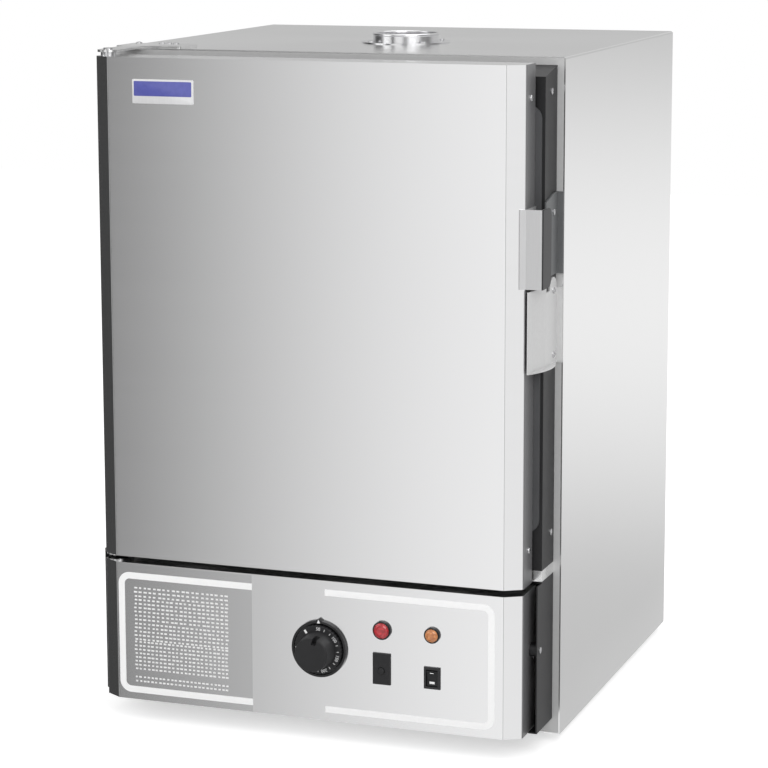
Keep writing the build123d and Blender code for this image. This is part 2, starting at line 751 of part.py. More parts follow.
def make_hinge_bracket_lower():
    """Arm under the door, folded up against the rail's face."""
    z1 = door_bottom - lower_washer
    z0 = z1 - lower_hinge_thickness
    riser = neck_face - door_back - 0.4
    arm = Pos(0, 0, z0) * extrude(arm_outline(neck_face), lower_hinge_thickness)
    leg = block(hinge_axis_x - hinge_arm_half_width, hinge_axis_x + hinge_arm_half_width,
                neck_face - riser, neck_face, z0, rail_top - 1)
    bracket = arm + leg
    return bracket - upright(hinge_axis_x, hinge_axis_y, z0 - 1, z1 + 1, hinge_pin_radius)


def make_hinge_pin_upper():
    """Pin with a low head on the upper arm."""
    top = case_top + hinge_plate_thickness
    pin = upright(hinge_axis_x, hinge_axis_y, door_top - sheet - bush_length + 2, top, hinge_pin_radius)
    return pin + upright(hinge_axis_x, hinge_axis_y, top, top + 1.6, hinge_pin_radius + 1.5)


def make_hinge_pin_lower():
    """Pin that stands up from the lower arm."""
    bottom = door_bottom - lower_washer - lower_hinge_thickness
    return upright(hinge_axis_x, hinge_axis_y, bottom, door_bottom + sheet + bush_length - 2, hinge_pin_radius)


def make_hinge_screws():
    """Three small screws in the upper hinge's plate, and one at its outer corner."""
    y = front + hinge_screw_setback
    x0 = -half_width + bend_radius + 1
    spots = [(x0 + 32 + n * hinge_screw_spacing * 1.2, y) for n in range(3)] + [(x0 + 8, y)]
    z = case_top + hinge_plate_thickness
    return [button_head("+Z", x, y, z) for x, y in spots]


def corner_angle(z0, z1):
    """Angle of sheet in the corner between the neck's cheek and the case's front."""
    t = handle_sheet
    leg = block(neck_half_width, neck_half_width + t, neck_face, front, z0, z1)
    foot = block(neck_half_width, half_width - 0.6, front - t, front, z0, z1)
    return leg + foot


def make_striker_plate():
    """Plate behind the handle, with a slanted upper edge."""
    top = striker_bottom + striker_height
    plate = corner_angle(striker_bottom, top)
    wedge = side_profile([(neck_face, top), (front - 10, top), (neck_face, top - 6)],
                         neck_half_width - 1, half_width + 1)
    return plate - wedge


def make_catch_bracket():
    """Lower bracket: an angle with a round lobe, a slanted leaf and a rounded tongue under it."""
    t = handle_sheet
    top = catch_bottom + catch_leg_height
    angle = corner_angle(catch_bottom, top)
    lobe = across(front - catch_lobe_setback, top, neck_half_width, neck_half_width + t, catch_lobe_radius)
    x1, y1 = neck_half_width, neck_face
    x0, y0 = fascia_half_width + catch_leaf_gap, front - catch_leaf_reach
    leaf = plan([(x1, y1), (x0, y0), (x0 + t, y0), (x1 + t, y1), (x1 + t, y1 + 2), (x1, y1 + 2)],
                catch_bottom, catch_bottom + catch_height)
    chord = Line((x0 + t, y0), (x1 + t, y1)) + Line((x1 + t, y1), (x1 + t, front - 4))
    bulge = ThreePointArc((x1 + t, front - 4), (half_width - 1, (y0 + front) / 2 - 4), (x0 + t, y0))
    tongue = Pos(0, 0, catch_bottom) * extrude(make_face(chord + bulge), t)
    return angle + lobe + leaf + tongue


def make_catch_screws():
    """Screws of the striker plate and of the catch bracket."""
    x = neck_half_width + handle_sheet
    spots = [(front - 13.4, striker_bottom + striker_screw_lift),
             (front - 12.4, catch_bottom + catch_screw_lift_high),
             (front - 11, catch_bottom + catch_screw_lift_low)]
    return [button_head("+X", x, y, z) for y, z in spots]


# ---------------------------------------------------------------- control panel
def make_fascia_panel():
    """Control panel, folded like the door, with its holes for the controls."""
    solid = folded_front(panel_bottom, panel_top, front - panel_flange_end)
    panel = folded_tray(solid, solid.faces().sort_by(Axis.Y)[-1])
    y0, y1 = fascia - 1, fascia + 2 * sheet
    panel -= facing(knob_x, knob_z, y0, y1, shaft_radius + 2)
    for x in (heat_lamp_x, power_lamp_x):
        panel -= facing(x, lamp_z, y0, y1, lamp_stem_radius)
    for x, z, width, height in ((breaker_x, breaker_z, breaker_width, breaker_height),
                                (rocker_x, rocker_z, rocker_width, rocker_height)):
        panel -= block(x - width / 2 + 1, x + width / 2 - 1, y0, y1, z - height / 2 + 1, z + height / 2 - 1)
    return panel


def make_fascia_screws():
    """Screws in the panel's side flanges."""
    return both_sides([button_head("+X", fascia_half_width, front - 31, panel_bottom + 67)])


def make_thermostat_body():
    """Thermostat behind the panel, with the bushing that guides its shaft."""
    size, depth = 42.0, 30.0
    y0 = fascia + sheet
    body = block(knob_x - size / 2, knob_x + size / 2, y0, y0 + depth, knob_z - size / 2, knob_z + size / 2)
    body = fillet(body.edges().filter_by(Axis.Y), 4)
    body += facing(knob_x, knob_z, fascia - 0.6, y0, shaft_radius + 2)
    return body - facing(knob_x, knob_z, fascia - 1, y0 + 8, shaft_radius + running_clearance)


def make_dial_ring():
    """Fixed black ring round the dial, with a pointed index at the top."""
    r = dial_ring_radius
    ring = turned([(0, 0), (r, 0), (r, dial_ring_depth), (r - dial_ring_wall, dial_ring_depth),
                   (r - dial_ring_wall, 0.6), (0, 0.6)], knob_x, knob_z, fascia)
    half = math.radians(9)
    point = [(r * math.sin(-half), r * math.cos(half) - 0.4), (0, r + 2.2),
             (r * math.sin(half), r * math.cos(half) - 0.4)]
    index = Pos(knob_x, 0, knob_z) * front_profile(make_face(Polyline(*point, close=True)),
                                                   fascia - dial_ring_depth, fascia)
    ring = ring + index
    return ring - facing(knob_x, knob_z, fascia - 2, fascia + 1, shaft_radius + 2)


def make_control_knob():
    """Skirted knob with a tapered, fluted hub and a notch towards its pointer."""
    h = knob_height
    base = 1.0
    t = knob_skirt_thickness
    knob = turned([(0, base), (knob_skirt_radius, base), (knob_skirt_radius, base + t - 0.6),
                   (knob_skirt_radius - 1.4, base + t), (knob_hub_radius + 0.6, base + t + 0.5),
                   (knob_hub_radius, base + t + 1.2), (knob_tip_radius, h - 1.2),
                   (knob_tip_radius - 1.2, h), (0, h)], knob_x, knob_z, fascia)
    for number in range(knob_flutes):
        angle = 2 * math.pi * (number + 0.5) / knob_flutes
        r = knob_hub_radius + 0.75
        flute = facing(knob_x + r * math.sin(angle), knob_z + r * math.cos(angle),
                       fascia - h - 1, fascia - base - t - 1.5, 1.3)
        knob -= flute
    notch = block(-2.2, 2.2, fascia - h - 1, fascia - h + 9, 7.0, 16.0)
    knob -= Pos(knob_x, 0, knob_z) * notch
    return knob - facing(knob_x, knob_z, fascia - h + 8, fascia, shaft_radius)


def make_thermostat_shaft():
    """Shaft that turns with the knob."""
    return facing(knob_x, knob_z, fascia - knob_height + 8, fascia + sheet + 7, shaft_radius)


def make_lamp_bezel(x, radius):
    """Round lamp body: bezel on the panel, threaded stem behind it."""
    lens = radius - lamp_bezel_wall
    bezel = turned([(0, 0), (radius, 0), (radius, lamp_bezel_depth - 1), (radius - 0.7, lamp_bezel_depth),
                    (lens, lamp_bezel_depth), (lens, 1.0), (0, 1.0)], x, lamp_z, fascia)
    stem = facing(x, lamp_z, fascia, fascia + lamp_stem_length, lamp_stem_radius)
    return bezel + stem


def make_lamp_lens(x, radius):
    """Domed lens in the bezel."""
    seat = 1.0
    lens = facing(x, lamp_z, fascia - lens_proud, fascia - seat, radius - lamp_bezel_wall)
    front_rim = lens.faces().sort_by(Axis.Y)[0].edges()
    return fillet(front_rim, lens_proud - lamp_bezel_depth + 1.2)


def make_breaker_body():
    """Protective switch: a tall plain plate with a round well, its body behind the panel."""
    w, h, proud = breaker_width, breaker_height, 2.0
    plate = block(breaker_x - w / 2, breaker_x + w / 2, fascia - proud, fascia, breaker_z - h / 2, breaker_z + h / 2)
    rim = plate.faces().sort_by(Axis.Y)[0].edges()
    plate = fillet(rim, 0.7)
    plate += block(breaker_x - w / 2 + 1, breaker_x + w / 2 - 1, fascia, fascia + breaker_body_depth,
                   breaker_z - h / 2 + 1, breaker_z + h / 2 - 1)
    return plate - facing(breaker_x, button_z, fascia - proud - 1, fascia + 6, button_radius + seal_gap)


def make_reset_button():
    """Round button that travels into its well."""
    button = facing(breaker_x, button_z, fascia - 3.4, fascia + 6 - button_travel - 0.5, button_radius)
    rim = button.faces().sort_by(Axis.Y)[0].edges()
    return fillet(rim, 0.6)


def make_rocker_housing():
    """Snap-in switch housing with an open well for the paddle."""
    w, h = rocker_width, rocker_height
    frame = block(rocker_x - w / 2, rocker_x + w / 2, fascia - rocker_bezel_depth, fascia,
                  rocker_z - h / 2, rocker_z + h / 2)
    frame = fillet(frame.faces().sort_by(Axis.Y)[0].edges(), 0.7)
    frame += block(rocker_x - w / 2 + 1, rocker_x + w / 2 - 1, fascia, fascia + rocker_body_depth,
                   rocker_z - h / 2 + 1, rocker_z + h / 2 - 1)
    well = block(rocker_x - w / 2 + 2.2, rocker_x + w / 2 - 2.2, fascia - 3, fascia + 9,
                 rocker_z - h / 2 + 2.4, rocker_z + h / 2 - 2.4)
    return frame - well


def make_rocker_paddle():
    """Two-position paddle, dished, resting with its lower end in."""
    w = rocker_width - 4.4 - 2 * seal_gap
    half = (rocker_height - 4.8) / 2 - 0.6
    outline = Line((4, -half), (-2.6, -half)) + ThreePointArc((-2.6, -half), (-1.2, 0), (-2.6, half))
    outline += Line((-2.6, half), (4, half)) + Line((4, half), (4, -half))
    section = make_face(Plane.YZ * outline)
    paddle = Pos(-w / 2, 0, 0) * extrude(section, w, dir=(1, 0, 0))
    return Pos(rocker_x, rocker_axis_y, rocker_z) * Rot(rocker_tilt, 0, 0) * paddle


# ---------------------------------------------------------------- feet and rear
def make_rubber_feet():
    """Tapered feet with a recess for the screw's head."""
    feet = []
    for x, y in foot_places():
        outline = [(0, foot_height), (foot_radius, foot_height), (foot_radius - 2, 0), (6, 0), (6, 3), (0, 3)]
        foot = revolve(make_face(Plane.XZ * Polyline(*outline, close=True)), Axis.Z)
        foot -= Pos(0, 0, foot_height / 2) * Cylinder(2.5, foot_height)
        feet.append(Pos(x, y, 0) * foot)
    return feet


def make_foot_screws():
    """Screws up through the feet into the base."""
    screws = []
    for x, y in foot_places():
        head = upright(x, y, 1.2, 3, 4.6)
        screws.append(head + upright(x, y, 3, case_bottom + 2 * sheet + 3, 2.5))
    return screws


def make_cable_gland():
    """Hexagonal gland with a rounded cap on the back; no cable is fitted."""
    hexagon = RegularPolygon(gland_hex_radius, 6)
    body = front_profile(Pos(gland_x, gland_z) * hexagon, back, back + 6)
    cap_end = back + gland_reach
    cap = facing(gland_x, gland_z, back + 6, cap_end, gland_hex_radius - 2)
    cap = fillet(cap.faces().sort_by(Axis.Y)[-1].edges(), 3)
    thread = facing(gland_x, gland_z, back - 10, back, gland_thread_radius)
    gland = body + cap + thread
    return gland - facing(gland_x, gland_z, back - 11, cap_end + 1, gland_bore_radius)


def make_gland_nut():
    """Lock nut inside the back panel."""
    hexagon = RegularPolygon(gland_hex_radius, 6)
    nut = front_profile(Pos(gland_x, gland_z) * hexagon, back - sheet - 4, back - sheet)
    return nut - facing(gland_x, gland_z, back - sheet - 5, back, gland_thread_radius)


def make_back_screws():
    """Screws round the rear cover."""
    x = inner_half_width - 8
    heights = [case_bottom + 14 + n * (cabinet_height - 28) / 3 for n in range(4)]
    return both_sides([button_head("+Y", x, back, z) for z in heights])


# ---------------------------------------------------------------- shelves
def make_shelf(level):
    """Wire shelf: a rod frame with wires across the top."""
    side = chamber_half_width - ledge_sheet - shelf_side_gap - shelf_frame_radius
    y1 = chamber_back - shelf_back_gap - shelf_frame_radius
    y0 = neck_face + shelf_front_gap + shelf_frame_radius
    z = chamber_bottom + first_ledge + level * shelf_pitch + shelf_frame_radius + seal_gap
    corner = 10.0
    outline = RectangleRounded(2 * side, y1 - y0, corner)
    path = (Pos(0, (y0 + y1) / 2, z) * outline).wire()
    section = Plane(origin=path @ 0, z_dir=path % 0) * Circle(shelf_frame_radius)
    frame = sweep(section, path=path)
    wires = []
    for number in range(shelf_wires):
        x = -side + (number + 1) * 2 * side / (shelf_wires + 1)
        wires.append(facing(x, z, y0, y1, shelf_wire_radius))
    return frame + wires


parts["outer_wrapper"] = make_outer_wrapper()
parts["front_plate"] = make_front_plate()
parts["back_panel"] = make_back_panel()
parts["base_pan"] = make_base_pan()
parts["deck_plate"] = make_deck_plate()
parts["neck_frame"] = make_neck()
parts["divider_rail"] = make_divider_rail()
parts["lower_neck"] = make_lower_neck()
parts["side_screws"] = make_neck_screws() + make_catch_screws() + make_fascia_screws()
parts["fascia_spacers"] = make_fascia_spacers()
parts["chamber_liner"] = make_chamber_liner()
parts["insulation"] = make_insulation()
parts["neck_gasket"] = make_neck_gasket()
shelf_rail = make_shelf_rail()
parts["shelf_rail_right"] = shelf_rail
parts["shelf_rail_left"] = mirror(shelf_rail, about=Plane.YZ)
parts["floor_plate"] = make_floor_plate()
parts["heater_element"] = make_heater_element()
parts["heater_flanges"] = make_heater_flanges()
parts["thermostat_bulb"] = make_thermostat_bulb()
parts["bulb_clips"] = make_bulb_clips()
parts["vent_pipe"] = make_vent_pipe()
parts["vent_flange"] = make_vent_flange()
parts["vent_shutter"] = make_vent_shutter()
parts["shutter_pivot"] = make_shutter_pivot()
parts["roof_screws"] = make_vent_screws() + make_hinge_screws()
parts["door_skin"] = make_door_skin()
parts["door_inner_pan"] = make_door_inner_pan()
parts["door_insulation"] = make_door_insulation()
parts["hinge_bushes"] = make_hinge_bushes()
parts["hinge_washers"] = make_hinge_washers()
parts["door_handle"] = make_door_handle()
parts["handle_screws"] = make_handle_screws()
parts["door_rivets"] = make_door_rivets()
parts["hinge_bracket_upper"] = make_hinge_bracket_upper()
parts["hinge_bracket_lower"] = make_hinge_bracket_lower()
parts["hinge_pin_upper"] = make_hinge_pin_upper()
parts["hinge_pin_lower"] = make_hinge_pin_lower()
parts["striker_plate"] = make_striker_plate()
parts["catch_bracket"] = make_catch_bracket()
parts["fascia_panel"] = make_fascia_panel()
parts["thermostat_body"] = make_thermostat_body()
parts["dial_ring"] = make_dial_ring()
parts["control_knob"] = make_control_knob()
parts["thermostat_shaft"] = make_thermostat_shaft()
parts["heat_lamp_bezel"] = make_lamp_bezel(heat_lamp_x, heat_lamp_radius)
parts["heat_lamp_lens"] = make_lamp_lens(heat_lamp_x, heat_lamp_radius)
parts["power_lamp_bezel"] = make_lamp_bezel(power_lamp_x, power_lamp_radius)
parts["power_lamp_lens"] = make_lamp_lens(power_lamp_x, power_lamp_radius)
parts["breaker_body"] = make_breaker_body()
parts["reset_button"] = make_reset_button()
parts["rocker_housing"] = make_rocker_housing()
parts["rocker_paddle"] = make_rocker_paddle()
parts["rubber_feet"] = make_rubber_feet()
parts["foot_screws"] = make_foot_screws()
parts["cable_gland"] = make_cable_gland()
parts["gland_nut"] = make_gland_nut()
parts["back_screws"] = make_back_screws()
parts["shelf_upper"] = make_shelf(used_ledges[1])
parts["shelf_lower"] = make_shelf(used_ledges[0])

os.makedirs("parts", exist_ok=True)
for name, shape in parts.items():
    solid = Compound(children=shape) if isinstance(shape, list) else shape
    export_step(solid, f"parts/{name}.step")
    box = solid.bounding_box()
    print(f"{name:22s} x {box.min.X:8.2f} {box.max.X:8.2f}  y {box.min.Y:8.2f} {box.max.Y:8.2f}"
          f"  z {box.min.Z:8.2f} {box.max.Z:8.2f}")
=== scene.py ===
# %% [markdown]
# # A dry heat sterilizer, dressed for the camera
# The model comes in two halves. The CAD half gives every sheet, hinge and control its true size and
# its way of moving. This file gives them their finishes, their printing and their small hardware.
# Each step below has a few sentences for a reader who is learning Blender, and then a short cell of code.

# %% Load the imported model
import json
import math

import bmesh
import bpy
from mathutils import Matrix, Vector


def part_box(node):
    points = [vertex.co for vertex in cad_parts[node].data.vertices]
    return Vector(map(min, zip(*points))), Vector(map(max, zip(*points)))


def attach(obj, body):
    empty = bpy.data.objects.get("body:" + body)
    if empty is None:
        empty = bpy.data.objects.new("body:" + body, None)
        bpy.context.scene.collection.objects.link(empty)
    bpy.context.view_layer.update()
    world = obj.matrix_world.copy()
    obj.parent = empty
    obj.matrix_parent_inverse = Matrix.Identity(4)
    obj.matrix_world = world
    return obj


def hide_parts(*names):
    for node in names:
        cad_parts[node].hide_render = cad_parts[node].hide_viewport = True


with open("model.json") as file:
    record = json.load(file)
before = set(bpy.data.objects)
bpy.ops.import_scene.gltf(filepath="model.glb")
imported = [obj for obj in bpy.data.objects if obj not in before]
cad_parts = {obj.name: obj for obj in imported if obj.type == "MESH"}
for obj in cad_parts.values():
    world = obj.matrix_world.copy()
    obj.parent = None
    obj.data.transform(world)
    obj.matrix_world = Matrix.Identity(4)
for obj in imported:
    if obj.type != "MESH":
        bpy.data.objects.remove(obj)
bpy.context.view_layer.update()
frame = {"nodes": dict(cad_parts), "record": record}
nodes = frame["nodes"]
MM = 0.001

# %% [markdown]
# ## Camera
# The oven was photographed from its right front, a little above its roof, with a long lens, so its
# upright edges stay nearly parallel. Three turns and a place describe such a camera. The object stood
# left of and below the middle of the negative, which a small lens shift repeats without turning the camera.

# %% Camera
def put_in_scene(name, data):
    """An object for that mesh, lamp, curve or camera, at the origin."""
    made = bpy.data.objects.new(name, data)
    bpy.context.scene.collection.objects.link(made)
    return made


camera_data = bpy.data.cameras.new("camera")
camera = put_in_scene("camera", camera_data)
roll, dip, swing = -0.0546, -0.1581, 0.3610
turn = (Matrix.Rotation(roll, 3, "Y") @ Matrix.Rotation(dip, 3, "X")
        @ Matrix.Rotation(swing, 3, "Z"))
right, ahead, up = turn.col[0], turn.col[1], turn.col[2]
camera_place = Vector((0.8617, -2.4400, 0.7891))
camera_axes = Matrix((right, up, -ahead)).transposed().to_4x4()
camera.matrix_world = Matrix.Translation(camera_place) @ camera_axes
picture_side, focal_pixels = 768, 2680.34
camera_data.sensor_width = 36.0
camera_data.lens = focal_pixels / picture_side * camera_data.sensor_width
camera_data.shift_x = 40 / picture_side
camera_data.shift_y = -60 / picture_side
bpy.context.scene.camera = camera
bpy.context.scene.view_settings.view_transform = "Standard"
print("lens", round(camera_data.lens, 1), "mm")

# %% [markdown]
# ## Node maths in plain Python
# A finish is a small tree of shader nodes. Wiring it by hand is long-winded, so one class wraps an
# output and lets Python's own signs add the Math nodes. A second class keeps the tree and has one
# method that makes any other node: its settings are written first, and then its sockets get values or wires.

# %% Wire and Tree
class Wire:
    """One output socket. Python's + - * and / on it add Math nodes to its tree."""

    def __init__(self, tree, socket):
        self.tree = tree
        self.socket = socket

    def maths(self, operation, first, second):
        made = self.tree.add("ShaderNodeMath", {"operation": operation}, {0: first, 1: second})
        return made["Value"]

    def __add__(self, other):
        return self.maths("ADD", self, other)

    def __radd__(self, other):
        return self.maths("ADD", other, self)

    def __sub__(self, other):
        return self.maths("SUBTRACT", self, other)

    def __rsub__(self, other):
        return self.maths("SUBTRACT", other, self)

    def __mul__(self, other):
        return self.maths("MULTIPLY", self, other)

    def __rmul__(self, other):
        return self.maths("MULTIPLY", other, self)

    def __truediv__(self, other):
        return self.maths("DIVIDE", self, other)

    def __rtruediv__(self, other):
        return self.maths("DIVIDE", other, self)

    def above(self, low):
        return self.maths("MAXIMUM", self, low)

    def below(self, high):
        return self.maths("MINIMUM", self, high)

    def past(self, edge, width):
        """0 up to the edge, then rising to 1 over that width."""
        return ((self - edge) / width).above(0).below(1)


class Outputs:
    """The outputs of a node that was just made, by name or by number."""

    def __init__(self, tree, node):
        self.tree = tree
        self.node = node

    def __getitem__(self, name):
        return Wire(self.tree, self.node.outputs[name])


class Tree:
    """A node tree that is filled in by the script."""

    def __init__(self, tree):
        self.tree = tree
        self.tree.nodes.clear()

    def add(self, kind, settings=None, values=None):
        node = self.tree.nodes.new(kind)
        for name, setting in (settings or {}).items():
            if name == "stops":
                self.set_stops(node.color_ramp, setting)
            else:
                setattr(node, name, setting)
        for name, value in (values or {}).items():
            if isinstance(value, Wire):
                self.tree.links.new(value.socket, node.inputs[name])
            else:
                node.inputs[name].default_value = value
        return Outputs(self, node)

    def set_stops(self, ramp, stops):
        while len(ramp.elements) > 1:
            ramp.elements.remove(ramp.elements[0])
        ramp.elements[0].position, shade = stops[0][0], stops[0][1]
        ramp.elements[0].color = (shade, shade, shade, 1)
        for position, shade in stops[1:]:
            ramp.elements.new(position).color = (shade, shade, shade, 1)


print("nodes can now be written as sums")

# %% [markdown]
# ## The studio
# Brushed steel shows the room more than it shows itself. The room is a pale sweep behind the oven, a
# soft white screen ahead of it, and a second one to its right, with dim gaps between them. The gaps
# draw the dark lines along the door's folds and the slow fall of light over its face. Behind the oven
# a bright band at one height gives its side a soft middle. The room is painted on the world by compass
# direction. The camera itself sees plain white.

# %% World
world = bpy.data.worlds.new("studio")
bpy.context.scene.world = world
world.use_nodes = True
room = Tree(world.node_tree)
direction = room.add("ShaderNodeTexCoord")["Generated"]
axis = room.add("ShaderNodeSeparateXYZ", values={0: direction})
compass = axis["X"].maths("ARCTAN2", axis["X"], axis["Y"] * -1) / (2 * math.pi) + 0.5


def at(degrees):
    """Place on the compass ramp: 0 is ahead of the door, positive is to the right."""
    return degrees / 360 + 0.5


around = room.add("ShaderNodeValToRGB", {"stops": [
    (0.0, 0.56), (at(-130), 0.50), (at(-106), 0.05), (at(-84), 0.05), (at(-68), 0.42), (at(-46), 0.40),
    (at(-38), 0.04), (at(-27.7), 0.05), (at(-20.0), 0.84), (at(-16), 1.0), (at(4), 1.0), (at(10), 0.35),
    (at(22), 0.35), (at(31), 0.86), (at(62), 0.86),
    (at(74), 0.25), (at(100), 0.30), (at(125), 0.95), (1.0, 0.95)]}, {"Fac": compass})["Color"]
behind = (axis["Y"] * 8).above(0).below(1) * (axis["X"] * 8).above(0).below(1)
band_height, band_half_width, band_dimming = -0.156, 0.10, 0.42
off_band = (axis["Z"] - band_height) / band_half_width
dimmed = behind * (off_band * off_band).below(1) * band_dimming
around = room.add("ShaderNodeMix", {"data_type": "RGBA"},
                  {"Factor": dimmed, 6: around, 7: (0.05, 0.05, 0.05, 1)})[2]
overhead = axis["Z"].past(0.35, 0.35)
screens = room.add("ShaderNodeMix", {"data_type": "RGBA"},
                   {"Factor": overhead, 6: around, 7: (0.75, 0.75, 0.75, 1)})[2]
seen = room.add("ShaderNodeLightPath")
mirrored = seen["Is Glossy Ray"].above(seen["Is Transmission Ray"])
reflected = room.add("ShaderNodeMix", {"data_type": "RGBA"},
                     {"Factor": mirrored, 6: (0.70, 0.70, 0.70, 1), 7: screens})[2]
shown = room.add("ShaderNodeMix", {"data_type": "RGBA"},
                 {"Factor": seen["Is Camera Ray"], 6: reflected, 7: (1, 1, 1, 1)})[2]
backdrop = room.add("ShaderNodeBackground", values={"Color": shown, "Strength": 1.0})["Background"]
room.add("ShaderNodeOutputWorld", values={"Surface": backdrop})
print("studio painted with", len(world.node_tree.nodes), "nodes")

# %% [markdown]
# ## Lamps
# Three large area lamps stand in for soft boxes. They shape the things that aren't metal, such as the
# knob and the dark neck, and give the floor its soft shadow.

# %% Lamps
def soft_box(name, place, aim, size, watts):
    """A square area lamp that looks from one point at another."""
    lamp = bpy.data.lights.new(name, "AREA")
    lamp.shape = "SQUARE"
    lamp.size = size
    lamp.energy = watts
    holder = bpy.data.objects.new(name, lamp)
    holder.location = place
    holder.rotation_euler = (Vector(aim) - Vector(place)).to_track_quat("-Z", "Y").to_euler()
    bpy.context.scene.collection.objects.link(holder)
    return holder


middle = (0, 0, 0.3)
lamp_plan = {"key_lamp": ((1.5, -1.9, 1.9), 1.6, 26), "fill_lamp": ((-1.9, -1.6, 1.5), 1.6, 9),
             "top_lamp": ((0.2, 0.5, 2.4), 1.8, 14)}
for lamp_name, (place, size, watts) in lamp_plan.items():
    soft_box(lamp_name, place, middle, size, watts)
print(len(lamp_plan), "lamps")

# %% [markdown]
# ## Floor
# The bench is a plain pale sheet. Its own light makes up what the lamps lack for the camera alone, so
# that it meets the white backdrop, while the shadow under the oven still shows. The steel looks
# through it at the room, because a mirror of the bench would put a hard line across the door.

# %% Floor
floor_mesh = bpy.data.meshes.new("bench_top")
reach = 4.0
floor_mesh.from_pydata([(-reach, -reach, 0), (reach, -reach, 0), (reach, reach, 0), (-reach, reach, 0)],
                       [], [(0, 1, 2, 3)])
bench_top = put_in_scene("bench_top", floor_mesh)
pale = bpy.data.materials.new("pale_bench")
pale.use_nodes = True
bench = Tree(pale.node_tree)
matt = bench.add("ShaderNodeBsdfDiffuse", values={"Color": (0.80, 0.80, 0.80, 1)})["BSDF"]
camera_only = bench.add("ShaderNodeLightPath")["Is Camera Ray"]
camera_lift = 0.52
lift = bench.add("ShaderNodeEmission", values={
    "Color": (1, 1, 1, 1), "Strength": camera_only * camera_lift})["Emission"]
both = bench.add("ShaderNodeAddShader", values={0: matt, 1: lift})["Shader"]
bench.add("ShaderNodeOutputMaterial", values={"Surface": both})
floor_mesh.materials.append(pale)
bench_top.visible_glossy = False
print("bench top", 2 * reach, "m wide")

# %% [markdown]
# ## A blank finish
# Every finish starts the same way: a Principled shader, the point on the object in metres, and a
# helper that stretches a noise along one direction. Stretched noise is how brushing, rolling and
# drawing marks are made, because such marks are long one way and very short across it.

# %% Finish
class Finish(Tree):
    """A material with one Principled shader."""

    def __init__(self, name, colour, roughness, metallic=0.0, **constants):
        self.material = bpy.data.materials.new(name)
        self.material.use_nodes = True
        super().__init__(self.material.node_tree)
        values = {"Base Color": (*colour, 1), "Roughness": roughness, "Metallic": metallic}
        for socket_name, value in constants.items():
            values[socket_name.replace("_", " ")] = value
        self.shader = self.add("ShaderNodeBsdfPrincipled", values=values)
        self.add("ShaderNodeOutputMaterial", values={"Surface": self.shader["BSDF"]})
        self.point = self.add("ShaderNodeTexCoord")["Object"]

    def place(self, axis_name):
        """The point's X, Y or Z in metres."""
        return self.add("ShaderNodeSeparateXYZ", values={0: self.point})[axis_name]

    def feed(self, socket_name, wire):
        self.tree.links.new(wire.socket, self.shader.node.inputs[socket_name])

    def stretched(self, per_metre, detail=2.0):
        """Noise from 0 to 1 with its own number of waves a metre along X, Y and Z."""
        place = self.add("ShaderNodeVectorMath", {"operation": "MULTIPLY"}, {0: self.point, 1: per_metre})
        return self.add("ShaderNodeTexNoise", values={"Vector": place["Vector"], "Scale": 1.0,
                                                      "Detail": detail})["Fac"]

    def blend(self, amount, low, high):
        """A colour that runs from one to another as amount goes from 0 to 1."""
        return self.add("ShaderNodeMix", {"data_type": "RGBA"},
                        {"Factor": amount, 6: (*low, 1), 7: (*high, 1)})[2]

    def blend_wires(self, amount, low, high):
        """The same, from a colour that is already a wire."""
        return self.add("ShaderNodeMix", {"data_type": "RGBA"}, {"Factor": amount, 6: low, 7: (*high, 1)})[2]

    def tint(self, amount, low, high):
        """Base Color that runs from one colour to another as amount goes from 0 to 1."""
        self.feed("Base Color", self.blend(amount, low, high))

    def relief(self, height, depth, strength=1.0):
        """Bump of that depth in metres."""
        bump = self.add("ShaderNodeBump", values={"Height": height, "Strength": strength,
                                                  "Distance": depth})["Normal"]
        self.feed("Normal", bump)


finishes = {}
print("finish helper ready")
